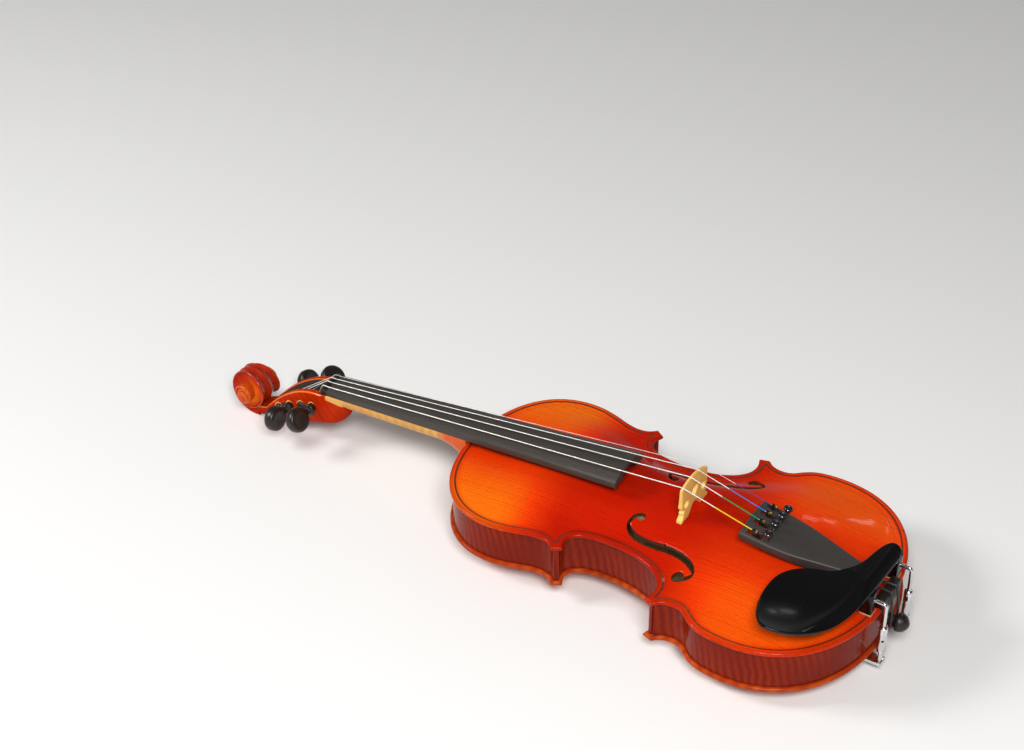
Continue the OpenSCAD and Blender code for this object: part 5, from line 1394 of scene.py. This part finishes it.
def pegPiece(key):
    x, z = pegSpot(key)
    hand, turn = pegRow[key][1], math.radians(pegRow[key][2])
    out, r, cr, hr = boxHalf(x), peg["dia"] / 2, peg["collar"] / 2, peg["headDia"] / 2
    half, middle = peg["headHalf"], out + peg["reach"] - hr
    shaft = rounded([
        (0, -out - 2.2), (r - 1.2, -out - 2.2), (r, -out - 1), (r, out + 4), (cr - 1, out + 4),
        (cr, out + 4.8), (cr, out + 6), (cr - 1.4, out + 7), (r - 0.3, out + 7.6), (r - 0.4, out + 10.4),
        (r + 0.4, middle - 6), (r, middle), (0, middle),
    ])
    face = [(0, 0.7), (3, 0.55), (6.2, 0.1), (hr - 2.2, 0), (hr - 0.9, 0.6), (hr - 0.2, 1.8), (hr, 3.2)]
    disc = [(q, h - half) for q, h in face] + [(q, half - h) for q, h in reversed(face)]
    pip = [(peg["pip"] * math.sin(a), -peg["pip"] * math.cos(a)) for a in np.linspace(0, math.pi, 13)]
    way = (math.cos(turn), 0, math.sin(turn))
    skin = together(
        lathe(shaft, (x, 0, z), (0, hand, 0), (1, 0, 0), 48),
        lathe(disc, (x, hand * middle, z), way, (-way[2], 0, way[0]), 64),
        lathe(pip, (x, hand * (middle + hr - 0.6), z), (0, hand, 0), (1, 0, 0), 24),
    )
    meshPiece("peg." + key, *skin, [fittingEbony], "peg_" + key, ["peg_" + key], "ebony", crease=42)
    ring = rounded([(r + 0.12, out - 1.2), (r + 0.12, out + 0.12), (r + 0.55, out + 0.2),
                    (r + 0.95, out - 0.2), (r + 0.95, out - 1.2), (r + 0.12, out - 1.2)], 3)
    rings = [lathe(ring, (x, 0, z), (0, side, 0), (1, 0, 0), 40) for side in (1, -1)]
    meshPiece("pegHoleRing." + key, *together(*rings), [bridgeMaple], "violin", ["neck"], "neck_maple")


for key in strings:
    pegPiece(key)
print("pegs are made")


# Node trees for round cord along a path and for ridges round a knob


def newTree(name, inputs):  # inputs as name, kind and value
    tree = bpy.data.node_groups.new(name, "GeometryNodeTree")
    for way in ("INPUT", "OUTPUT"):
        tree.interface.new_socket("Geometry", in_out=way, socket_type="NodeSocketGeometry")
    ids = {}
    for label, kind, value in inputs:
        socket = tree.interface.new_socket(label, in_out="INPUT", socket_type="NodeSocket" + kind)
        if value is not None:
            socket.default_value = value
        ids[label] = socket.identifier
    return tree, ids, tree.nodes.new("NodeGroupInput").outputs


def treeNode(tree, kind, sockets=None, settings=None):
    made = tree.nodes.new(kind)
    for key, value in (settings or {}).items():
        setattr(made, key, value)
    for key, value in (sockets or {}).items():
        if isinstance(value, bpy.types.NodeSocket):
            tree.links.new(value, made.inputs[key])
        else:
            made.inputs[key].default_value = value
    return made.outputs


def endTree(tree, shape, finish):  # smooth, real and with its finish, as each tree ends
    soft = treeNode(tree, "GeometryNodeSetShadeSmooth", {"Geometry": shape})
    real = treeNode(tree, "GeometryNodeRealizeInstances", {"Geometry": soft[0]})
    done = treeNode(tree, "GeometryNodeSetMaterial", {"Geometry": real[0], "Material": finish})
    tree.links.new(done[0], tree.nodes.new("NodeGroupOutput").inputs[0])


def cordTree():
    tree, ids, start = newTree("roundCord", [
        ("Radius", "Float", 0.0005), ("Sides", "Int", 16), ("Finish", "Material", None)])
    line = treeNode(tree, "GeometryNodeMeshToCurve", {0: start["Geometry"]})
    far = treeNode(tree, "GeometryNodeSplineParameter")
    kept = treeNode(tree, "GeometryNodeStoreNamedAttribute",
                    {"Geometry": line[0], "Name": "along", "Value": far["Length"]},
                    {"data_type": "FLOAT", "domain": "POINT"})
    ring = treeNode(tree, "GeometryNodeCurvePrimitiveCircle",
                    {"Resolution": start["Sides"], "Radius": start["Radius"]}, {"mode": "RADIUS"})
    skin = treeNode(tree, "GeometryNodeCurveToMesh",
                    {"Curve": kept[0], "Profile Curve": ring["Curve"], "Fill Caps": True})
    endTree(tree, skin[0], start["Finish"])
    return tree, ids


def ridgeTree():  # small rounded bars round a ring, kept beside the knob's own skin
    tree, ids, start = newTree("ridgeRing", [
        ("Count", "Int", 24), ("Radius", "Float", 0.0034), ("Tall", "Float", 0.0016),
        ("Thick", "Float", 0.0002), ("Up", "Vector", None), ("Spot", "Vector", None),
        ("Finish", "Material", None)])
    ring = treeNode(tree, "GeometryNodeMeshCircle", {"Vertices": start["Count"], "Radius": start["Radius"]})
    bar = treeNode(tree, "GeometryNodeMeshCylinder",
                   {"Vertices": 8, "Side Segments": 3, "Radius": start["Thick"], "Depth": start["Tall"]})
    row = treeNode(tree, "GeometryNodeInstanceOnPoints", {"Points": ring[0], "Instance": bar[0]})
    turn = treeNode(tree, "FunctionNodeAlignRotationToVector", {"Vector": start["Up"]}, {"axis": "Z"})
    placed = treeNode(tree, "GeometryNodeTransform",
                      {"Geometry": row[0], "Translation": start["Spot"], "Rotation": turn[0]})
    both = tree.nodes.new("GeometryNodeJoinGeometry")
    tree.links.new(placed[0], both.inputs[0])
    tree.links.new(start["Geometry"], both.inputs[0])
    endTree(tree, both.outputs[0], start["Finish"])
    return tree, ids


roundCord, cordIds = cordTree()
ridgeRing, ridgeIds = ridgeTree()


def grown(name, mesh, tree, ids, values):  # runs a node tree on a mesh and keeps the plain result
    obj = linked(name, mesh)
    step = obj.modifiers.new("grow", "NODES")
    step.node_group = tree
    for key, value in values.items():
        step[ids[key]] = value
    bpy.context.view_layer.update()
    plain = bpy.data.meshes.new_from_object(obj.evaluated_get(bpy.context.evaluated_depsgraph_get()))
    obj.modifiers.remove(step)
    obj.data = plain
    plain.name = name
    return obj


def cordPiece(name, routes, radius, sides, finish, bodyName, nodes):
    mesh = bpy.data.meshes.new(name)
    points, edges = [], []
    for route in routes:
        edges += [(len(points) + i, len(points) + i + 1) for i in range(len(route) - 1)]
        points += [place(p) for p in route]
    mesh.from_pydata(points, edges, [])
    values = {"Radius": radius / 1000, "Sides": sides, "Finish": finish.material}
    dress(grown(name, mesh, roundCord, cordIds, values), 50, bodyName, nodes)


# Tailpiece's own frame

tail = {
    "front": 243.0, "high": 29.4, "slope": 9.0, "length": 101.0, "width": 42.0, "endWidth": 13.0,
    "round": 60.0, "wall": 2.6, "depth": 9.5, "rim": 2.3, "hollowTo": 50.0, "tunerSpread": 32.0,
    "hookAt": 7.8, "hookOver": 2.2, "screwAt": 20.0, "screwDia": 3.0, "pivotAt": 12.6, "pivotZ": -5.9,
    "leverWidth": 2.4, "edge": 0.9, "edgeRound": 1.1, "grid": 1.9, "gridEdge": 2.9,
    "edgeRings": (0.12, 0.35, 0.7, 1.1, 2.2, 2.4), "holeRings": (0.3, 0.7), "clear": 0.25,
    "slotFrom": -3.4, "slotTo": 9.2, "slotRoom": 0.9, "knobOver": 2.9, "screwRoom": 0.06,
    "holeDrop": 0.22, "holeRound": 0.3, "lowEdge": 0.5, "lowRound": 0.7, "tipAt": -4.7, "tipShare": 0.35,
    "prongGap": 0.55, "pinRadius": 0.75, "pinShort": 0.3,
}


def tailPoint(p):
    a = math.radians(tail["slope"])
    return (tail["front"] + p[0] * math.cos(a) + p[2] * math.sin(a), p[1],
            tail["high"] - p[0] * math.sin(a) + p[2] * math.cos(a))


def tailOut(y):
    return np.sqrt(tail["round"] ** 2 - np.asarray(y, float) ** 2) - tail["round"]


def tunerY(i):
    return spaced(tail["tunerSpread"], i)


def screwTip(y):  # lowest point of a tuner's screw, in the tailpiece's frame
    return tail["tipAt"] + float(tailOut(y)) * tail["tipShare"]


# Strings, their windings and silks

bridgeForm = {"at": 193.6, "high": 45.4, "spread": 34.6, "slope": 3.2}
winding = {
    "turns": {"g": 4, "d": 3, "a": 3, "e": 4}, "from": {"g": 1.4, "d": 1.2, "a": 1.0, "e": 1.2}, "space": 0.5,
    "lift": 0.12, "clear": 0.4, "lap": 1.0, "steps": 40,
}
silkRun = {"from": 0.46, "to": 0.995, "over": 0.07}  # shares of the way from bridge to tuner


def curveZ(y):
    return bridgeForm["high"] - boardDrop(y) - bridgeForm["slope"] / 2 * y / (bridgeForm["spread"] / 2)


def bridgeY(i):
    return spaced(bridgeForm["spread"], i)


def windingForm(i):
    key = strings[i]
    x, z = pegSpot(key)
    r = peg["dia"] / 2 + strand[key] / 2 + winding["lift"]
    side = -1 if i < 2 else 1
    dx, dz = nut["from"] - x, nutZ(i) - 0.5 - z
    leave = math.atan2(dz, dx) + math.acos(r / math.hypot(dx, dz))
    return x, z, r, side, leave


def windingRoute(i):
    key = strings[i]
    x, z, r, side, leave = windingForm(i)
    step, n = strand[key] + winding["space"], winding["steps"]
    out = []
    for k in range(n * winding["turns"][key] + 1):
        a = 2 * math.pi * k / n
        y = side * (winding["from"][key] + step * a / (2 * math.pi))
        out.append((x + r * math.cos(leave + a), y, z + r * math.sin(leave + a)))
    return out


def stringEnd(i):
    y = tunerY(i)
    return tailPoint((tail["hookAt"] - 0.5, y, float(tailOut(y)) + tail["hookOver"]))


def stringRoute(i):
    x, z, r, side, leave = windingForm(i)
    y = side * (winding["from"][strings[i]] - strand[strings[i]] - winding["clear"])
    turns = leave + np.linspace(winding["lap"], 0, 9)
    route = [(x + r * math.cos(a), y, z + r * math.sin(a)) for a in turns]
    ny, nz, by, bz = nutY(i), nutZ(i), bridgeY(i), curveZ(bridgeY(i))
    overNut = ((-0.2, 0.6), (0.5, 0.25), (1.2, 0.08), (2.4, 0))  # way from the nut's back edge, drop
    overBridge = ((-1, 0), (-0.2, 0.02), (0.6, -0.05))  # way from the bridge's middle, rise
    route += [(nut["from"] + way, ny, nz - drop) for way, drop in overNut] + [(board["nutAt"], ny, nz)]
    route += [(bridgeForm["at"] + way, by, bz + rise) for way, rise in overBridge]
    return [tuple(map(float, p)) for p in route + [stringEnd(i)]]


def stringPieces():
    for i, key in enumerate(strings):
        route = stringRoute(i)
        r = strand[key] / 2
        cordPiece("string." + key, [route], r, 16, stringWinding, "violin", ["string_" + key])
        cordPiece("winding." + key, [windingRoute(i)], r, 12, stringWinding, "peg_" + key, ["wound_" + key])
        a, b = np.array(route[-2]), np.array(route[-1])
        silk = [tuple(a + (b - a) * t) for t in np.linspace(silkRun["from"], silkRun["to"], 24)]
        cordPiece("silk." + key, [silk], r + silkRun["over"], 16, silks[key], "violin", [])


stringPieces()
print("strings are made")


# Bridge

bridgeCut = {
    "half": 20.5, "foot": 11.5, "wallFoot": 4.6, "wallTop": 1.5, "wallFrom": 14.0, "footGap": 0.12,
    "edge": 0.35, "ring": 0.35, "grid": 1.1, "gridEdge": 0.9, "clear": 0.8, "crownOver": 2.6,
    "crownDrop": 0.1,
    "flank": [(0.9, 30), (0.7, 26.6), (0.9, 24.3), (2.8, 23), (4.3, 21.2), (3.2, 19.9), (2.4, 18.9),
              (3.1, 17.6), (2.4, 15.9), (0.7, 14.3), (0, 13.2)],  # way in from the half width, height
}


def bridgeOutline():
    h, foot, half = bridgeCut["half"], bridgeCut["foot"], bridgeForm["spread"] / 2 + bridgeCut["crownOver"]
    ys = np.linspace(-half, half, 49)
    crown = [(y, curveZ(y) - bridgeCut["crownDrop"]) for y in ys]
    dx = bridgeCut["wallFoot"] / 2

    def sole(y):
        xs = np.array((bridgeForm["at"] - dx, bridgeForm["at"] + dx))
        return float(np.max(plates["topArch"] * arch(xs, np.full(2, y)))) + bridgeCut["footGap"]

    def side(edgeZ):
        line = smoothLine([(half, edgeZ)] + [(h - d, z) for d, z in bridgeCut["flank"]], 6)
        line += [(h, sole(h))] + [(y, sole(y)) for y in np.linspace(h - 0.8, h - foot + 0.8, 10)]
        line += [(h - foot, sole(h - foot))]
        toe = h - foot
        return line + smoothLine([(toe, 12.6), (toe - 1.2, 14.6), (toe - 3.6, 17.1), (3, 19), (0, 19.4)], 6)

    left, right = (side(curveZ(y) - bridgeCut["crownDrop"]) for y in (-half, half))
    return crown[:-1] + right + [(-y, z) for y, z in reversed(left[:-1])][:-1]


def bridgeHoles():
    heart = joined([circle(2.3, 31.4, 2.4, 28), circle(-2.3, 31.4, 2.4, 28),
                    [(-4.5, 30.6), (0, 25), (4.5, 30.6), (0, 33)]])
    kidneys = []
    for s in (1, -1):
        kidneys.append(joined([
            circle(s * 13.2, 25.4, 3.3, 32),
            [(s * 13.2 - 1, 22.2), (s * 13.2 + 1, 22.2), (s * 13.2 + 1, 26), (s * 13.2 - 1, 26)],
        ]))
    return [heart, *kidneys]


def bridgePiece():
    b = bridgeCut
    outer, holes = bridgeOutline(), bridgeHoles()
    loops = [outer, *holes]
    spots = clearOf(gridIn(outer, b["grid"], b["gridEdge"]), holes, b["clear"])
    for loop in loops:
        for d in (b["ring"], -b["ring"]):
            ring = offset(loop, d)
            inside = within(ring, outer)
            for other in holes:
                inside &= ~within(ring, other)
            near = np.min([wayTo(ring, other) for other in loops], axis=0)
            spots += [q for q, ok, w in zip(ring, inside, near) if ok and w > 0.3]
    plan, tris = sheetOf(loops, spots)
    near = np.min([wayTo(plan, loop) for loop in loops], axis=0)
    levels, walls = [0, b["wallFrom"], bridgeForm["high"] + 3], [b["wallFoot"], b["wallFoot"], b["wallTop"]]
    half = np.interp(plan[:, 1], levels, walls) / 2
    half = half - np.where(near < 0.05, b["edge"], 0) * np.minimum(1, half)
    points, faces = slab(plan, tris, half, -half)[:2]
    points = [(bridgeForm["at"] + z, x, y) for x, y, z in points]
    meshPiece("bridge", points, faces, [bridgeMaple], "violin", ["bridge"], "bridge_maple", crease=50)


bridgePiece()
print("bridge is made")


# Tailpiece and fine tuners


def tailPlan():
    w, e, l = tail["width"] / 2, tail["endWidth"] / 2, tail["length"]
    half = [(0.0, w), (20.0, w - 0.7), (40.0, w - 2.8), (0.62 * l, 12.9), (0.82 * l, e + 1.6), (l, e)]
    return smoothLine(half, 12)


def tailPiece():
    t = tail
    side = tailPlan()
    fore = [(0.0, y) for y in np.linspace(-t["width"] / 2, t["width"] / 2, 30)[1:-1]]
    back = [(t["length"], y) for y in np.linspace(t["endWidth"] / 2, -t["endWidth"] / 2, 12)[1:-1]]
    outer = fore + side + back + [(x, -y) for x, y in reversed(side)]
    holes = []
    for i in range(4):
        y, w = tunerY(i), t["leverWidth"] / 2 + t["slotRoom"]
        a, b = t["hookAt"] + t["slotFrom"], t["hookAt"] + t["slotTo"]
        turns = np.linspace(-math.pi / 2, math.pi / 2, 9)[1:-1]
        bow = [(b + w * math.cos(q) - w, y + w * math.sin(q)) for q in turns]
        holes.append([(a, y + w), (a, y - w), (b - w, y - w), *bow, (b - w, y + w)])
        holes.append(circle(t["screwAt"], y, t["screwDia"] / 2 + t["screwRoom"], 24))
    spots = gridIn(outer, t["grid"], t["gridEdge"]) + ringsBeside(outer, t["edgeRings"], outer, 0.03)
    for loop in holes:
        spots += ringsBeside(loop, t["holeRings"], outer, 0.03)
    spots += [(t["hollowTo"] + way, y) for way in (-0.05, 0.05) for y in np.linspace(-13, 13, 27)]
    plan, tris = sheetOf([outer, *holes], clearOf(spots, holes, t["clear"]))
    d = wayTo(plan, outer)
    hole = np.min([wayTo(plan, loop) for loop in holes], axis=0)
    crown = tailOut(plan[:, 1])
    sunk = t["holeDrop"] * np.clip(1 - hole / t["holeRound"], 0, 1)
    high = crown - t["edge"] * (1 - bead(d, t["edgeRound"])) - sunk
    hollow = (d > t["rim"]) & (plan[:, 0] < t["hollowTo"])
    low = np.where(hollow, crown - t["wall"], -t["depth"] + t["lowEdge"] * (1 - bead(d, t["lowRound"])))
    points, faces = slab(plan, tris, high, low)[:2]
    meshPiece("tailpiece", [tailPoint(p) for p in points], faces, [tailSkin], "violin", ["tailpiece"],
              "tail_composite", crease=44)


def tunerLever(i):
    t, key, y = tail, strings[i], tunerY(i)
    top, tip = float(tailOut(y)) + t["hookOver"], screwTip(y)
    hook, pivot, screw, pz, w = t["hookAt"], t["pivotAt"], t["screwAt"], t["pivotZ"], t["leverWidth"] / 2
    gap = t["prongGap"]
    prong = [(hook, top + 1.2), (hook + 1.7, top + 1.2), (hook + 2, top - 0.7), (hook + 0.06, top - 0.7)]
    stem = [(hook + 0.08, top - 0.7), (hook + 1.9, top - 0.7), (hook + 2, top - 1.2), (pivot + 0.6, pz + 2),
            (pivot + 3.2, tip - 0.3), (screw + 1.6, tip - 0.3), (screw + 1.6, tip - 1.7),
            (pivot + 1, pz - 1.7), (pivot - 1, pz - 1.7), (pivot - 1.9, pz), (hook + 0.3, top - 2)]

    def sheet(shape, y0, y1):
        plan, tris = sheetOf([shape], [])
        points, faces = slab(plan, tris, [y1] * len(plan), [y0] * len(plan))[:2]
        return [tailPoint((x, q, z)) for x, z, q in points], faces

    skin = together(sheet(stem, y - w, y + w), sheet(prong, y - w, y - gap), sheet(prong, y + gap, y + w))
    body = "tuner_lever_" + key
    meshPiece("tunerLever." + key, *skin, [tunerSteel], body, [body], "tuner_metal", bevel=0.14)
    half = [(0, 1.1), (1.3, 1.1), (1.3, 0.35), (1.05, 0.2)]
    ball = rounded([(q, -h) for q, h in half] + half[::-1], 5)
    skin = lathe(ball, tailPoint((hook + 3.2, y, top - 0.1)), (0, 1, 0), (1, 0, 0), 32)
    meshPiece("ballEnd." + key, *skin, [ballBrass], body, [], "tuner_metal")


knob = {
    "line": [(0, 0), (1.9, 0), (1.75, 0.5), (1.75, 2.2), (2.3, 2.5), (3.1, 2.7), (3.36, 3.1), (3.36, 4.5),
             (3.0, 4.95), (1.7, 5.3), (0.8, 5.4), (0, 5.42)],  # radius, height
    "ridges": {"Count": 30, "Radius": 0.00329, "Tall": 0.0013, "Thick": 0.0002},
    "ridgeAt": 3.84, "pitch": 0.5,
}


def tunerScrew(i):
    t, key, y = tail, strings[i], tunerY(i)
    up = Vector(tailPoint((0, 0, 1))) - Vector(tailPoint((0, 0, 0)))
    over = Vector(tailPoint((1, 0, 0))) - Vector(tailPoint((0, 0, 0)))
    tip, base, r = screwTip(y), float(tailOut(y)) + t["knobOver"], t["screwDia"] / 2
    line = [(0, tip), (r - 0.5, tip), (r - 0.1, tip + 0.45)]
    z = tip + 0.6
    while z < base - 0.6:
        line += [(r, z), (r, z + 0.14), (r - 0.2, z + 0.25), (r - 0.2, z + 0.36)]
        z += knob["pitch"]
    line += [(r, base - 0.3), (r, base), (0, base)]
    spot = tailPoint((t["screwAt"], y, 0))
    meshPiece("tunerScrew." + key, *lathe(line, spot, up, over, 28), [tunerSteel], "tuner_screw_" + key,
              ["tuner_screw_" + key], "tuner_metal", crease=30)
    points, faces = lathe(rounded(knob["line"], 4), tailPoint((t["screwAt"], y, base + 0.02)), up, over, 48)
    mesh = bpy.data.meshes.new("tunerKnob." + key)
    mesh.from_pydata([place(p) for p in points], [], faces)
    cleaned(mesh)
    values = {**knob["ridges"], "Up": lean(up)[:], "Finish": knobChrome.material,
              "Spot": place(tailPoint((t["screwAt"], y, base + knob["ridgeAt"])))[:]}
    obj = grown("tunerKnob." + key, mesh, ridgeRing, ridgeIds, values)
    dress(obj, 40, "tuner_knob_" + key, ["tuner_knob_" + key])


def tunerPin():
    reach = float(np.interp(tail["pivotAt"], *zip(*tailPlan()))) - tail["pinShort"]
    r = tail["pinRadius"]
    line = rounded([(0, -reach), (r, -reach), (r, reach), (0, reach)], 3)
    spot = tailPoint((tail["pivotAt"], 0, tail["pivotZ"]))
    meshPiece("tunerPin", *lathe(line, spot, (0, 1, 0), (1, 0, 0), 24), [tunerSteel], "violin", ["tuner_pin"],
              "tuner_metal")


cord = {"radius": 0.95, "y": 3.6, "z": -5.4, "buttonZ": -19.5, "wrap": 5.65, "wrapAt": 359.2}


def tailCord():
    a, b = tailPoint((94, 0, cord["z"])), tailPoint((101.6, 0, cord["z"]))

    def half(s):
        return [(a[0], s * cord["y"], a[2]), (b[0], s * cord["y"], b[2]), (349.6, 3.9 * s, 9.25),
                (354.4, 4.3 * s, 9.2), (356.4, 4.6 * s, 8.7), (357.1, 4.9 * s, 6.4),
                (cord["wrapAt"], cord["wrap"] * s, -11.5)]

    turn = [(cord["wrapAt"], cord["wrap"] * math.cos(q), cord["buttonZ"] - cord["wrap"] * math.sin(q))
            for q in np.linspace(0, math.pi, 13)]
    route = smoothLine(half(1) + turn + half(-1)[::-1], 8)
    cordPiece("tailCord", [route], cord["radius"], 18, cordSkin, "violin", ["tail_cord"])


def copied(name, node, finish, bodyName, bevel=0.0):  # the drawing's own form with softened edges
    mesh = bpy.data.meshes.new_from_object(frame["nodes"][node])
    mesh.name = name
    cleaned(mesh, bevel, True)
    mesh.materials.clear()
    mesh.materials.append(finish.material)
    mesh.polygons.foreach_set("material_index", [0] * len(mesh.polygons))
    dress(linked(name, mesh), creaseAngle, bodyName, [node])


buttonLine = [  # radius, place along the body
    (0, 335.2), (3.6, 335.2), (4, 335.8), (4, 352.4), (6.4, 352.4), (6.4, 354), (5, 354.6), (4.6, 355.4),
    (4.6, 361), (6.3, 361.6), (7.3, 363), (7.3, 365), (5.9, 368), (3.3, 370.2), (2.2, 370.4),
    (1.8, 371), (0, 371),
]


def endButton():
    skin = lathe(rounded(buttonLine, 5), (0, 0, cord["buttonZ"]), (1, 0, 0), (0, 1, 0), 48)
    meshPiece("endButton", *skin, [fittingEbony], "violin", ["end_button"], "ebony")


tailPiece()
for i in range(4):
    tunerLever(i)
    tunerScrew(i)
tunerPin()
tailCord()
copied("saddle", "saddle", fittingEbony, "violin", 0.5)
endButton()
print("tail end is made")


# Chin rest and clamp

rest = {
    "high": 25.0, "wall": 6.0, "middle": (312.0, -57.0), "deep": 10.5, "hollow": 92.0, "bowl": 4.5,
    "edge": 1.3, "crest": 8.5, "fall": 3.6, "lip": 3.2, "runSteps": 22, "legs": (-22, 22), "legFrom": 342,
    "legTo": 351, "legHalf": 5, "legHigh": 20.0, "legLow": 1.9,
    "rings": (0.06, 0.2, 0.42, 0.7, 1.0, 1.35, 1.9, 2.7), "reach": 91, "nearFrom": 93, "nearOver": 34,
    "meetHigh": 1.6, "meetLow": 3.0, "rollHigh": 1.2, "rollWide": 4.5, "lipOver": 16,
    "grid": 2.0, "gridEdge": 3.2,
}


def restOutline():
    runs = [
        [(57, -97), (68, -90), (75, -66), (73, -48)], [(73, -48), (71, -32), (59, -23), (43, -20)],
        [(43, -20), (31, -17.5), (26, -8), (23, 3)], [(23, 3), (21, 14), (19, 28), (12, 28)],
        [(12, 28), (6, 28), (4, 25), (4, 20)], [(4, 20), (5, 4), (5, -10), (6, -24)],
        [(6, -24), (9, -58), (29, -96), (57, -97)],
    ]
    out = [p for run in runs for p in curve(run, rest["runSteps"])[:-1]]
    return [(outline["length"] - x, y) for x, y in out]


def softMin(a, b, r):  # lower of two heights with a rounded meeting
    h = np.clip(0.5 + 0.5 * (b - a) / r, 0, 1)
    return b * (1 - h) + a * h - r * h * (1 - h)


def chinRest():
    c = rest
    loop = restOutline()
    spots = gridIn(loop, c["grid"], c["gridEdge"]) + ringsBeside(loop, c["rings"], loop, 0.02)
    plan, tris = sheetOf([loop], spots)
    d = wayTo(plan, loop)
    rho = np.minimum(np.hypot(plan[:, 0] - c["middle"][0], plan[:, 1] - c["middle"][1]), c["reach"])
    tailSide = loop[5 * c["runSteps"] - 5:]
    roll = wayTo(plan, tailSide + tailSide[::-1])
    kept = np.array([smooth((y + c["nearFrom"]) / c["nearOver"]) for y in plan[:, 1]])
    crest = c["crest"] * (0.35 + 0.65 * kept)
    bowl = c["high"] - c["deep"] + c["hollow"] - np.sqrt(c["hollow"] ** 2 - rho ** 2)
    under = c["high"] - c["deep"] + c["hollow"] - np.sqrt((c["hollow"] + c["bowl"]) ** 2 - rho ** 2)
    high = softMin(bowl, np.full(len(plan), c["high"]), c["meetHigh"])
    low = softMin(under, np.full(len(plan), c["high"] - c["wall"]), c["meetLow"])
    fall = c["fall"] * np.clip(1 - roll / crest, 0, 1) ** 2
    high = high + kept * (c["rollHigh"] * np.exp(-((roll - crest) / c["rollWide"]) ** 2) - fall)
    rim = np.array([smooth(1 - q / c["lipOver"]) for q in d]) * (1 - kept)
    low = low + rim * np.clip(high - c["lip"] - low, 0, None)
    drop = np.minimum(c["edge"], (high - low) / 2) * (1 - bead(d, c["edge"]))
    points, faces = slab(plan, tris, high - drop, low + drop)[:2]
    meshPiece("chinRest", points, faces, [restGloss], "violin", ["chin_rest"], "rest_black", crease=60)
    legs = []
    for y in c["legs"]:
        a, b, w = c["legFrom"], c["legTo"], c["legHalf"]
        plan, tris = sheetOf([[(a, y - w), (b, y - w), (b, y + w), (a, y + w)]], [])
        legs.append(slab(plan, tris, [c["legHigh"]] * 4, [c["legLow"]] * 4)[:2])
    meshPiece("chinRestLegs", *together(*legs), [restGloss], "violin", ["chin_rest"], "rest_black", bevel=0.8)


clamp = {"from": 345.05, "out": 360.0, "high": 13.0, "low": -14.5, "bend": 2.4, "radius": 1.5}


def clampArms():
    x, z, r = clamp["out"], clamp["high"], clamp["bend"]
    routes, turns = [], np.linspace(0, math.pi / 2, 10)
    for y in rest["legs"]:
        bend = [(x - r + r * math.sin(q), y, z - r + r * math.cos(q)) for q in turns]
        routes.append([(clamp["from"], y, z)] + bend + [(x, y, 4), (x, y, clamp["low"])])
    cordPiece("clampArms", routes, clamp["radius"], 24, clampChrome, "violin", ["clamp_arms"])


chinRest()
clampArms()
copied("chinRestCork", "chin_rest_cork", cork, "violin", 0.25)
for sideName in ("bass", "treble"):
    node = "clamp_barrel_" + sideName
    copied("clampBarrel." + sideName, node, clampChrome, node)
copied("clampFoot", "clamp_foot", clampChrome, "clamp_foot", 0.3)
copied("clampFootCork", "clamp_foot_cork", cork, "clamp_foot", 0.25)
print("chin rest is made")


# Wood inside the body

blocks = ["neck_block", "end_block", "corner_blocks"]
for node in ["linings_top", "linings_back", *blocks, "bass_bar", "sound_post"]:
    words = node.split("_")
    copied(words[0] + words[1].title(), node, innerWood, "violin", 0.15)
print("inside wood is made")


# Floor and the end

paleFloor = {"colour": (0.86, 0.86, 0.86), "mottle": 0.985, "half": 9.0, "low": -0.0004}


def setFloor():
    finish = Finish("paleFloor", {"Specular IOR Level": 0.2, "Roughness": 0.75})
    tone = finish.noise(finish.spot(), 6.0)
    deeper = tuple(c * paleFloor["mottle"] for c in paleFloor["colour"])
    finish.surface({"Base Color": finish.mix(tone, paleFloor["colour"], deeper)})
    mesh = bpy.data.meshes.new("floor")
    w, z = paleFloor["half"], paleFloor["low"]
    mesh.from_pydata([(-w, -w, z), (w, -w, z), (w, w, z), (-w, w, z)], [], [(0, 1, 2, 3)])
    mesh.materials.append(finish.material)
    linked("floor", mesh)


setFloor()
bpy.context.view_layer.update()
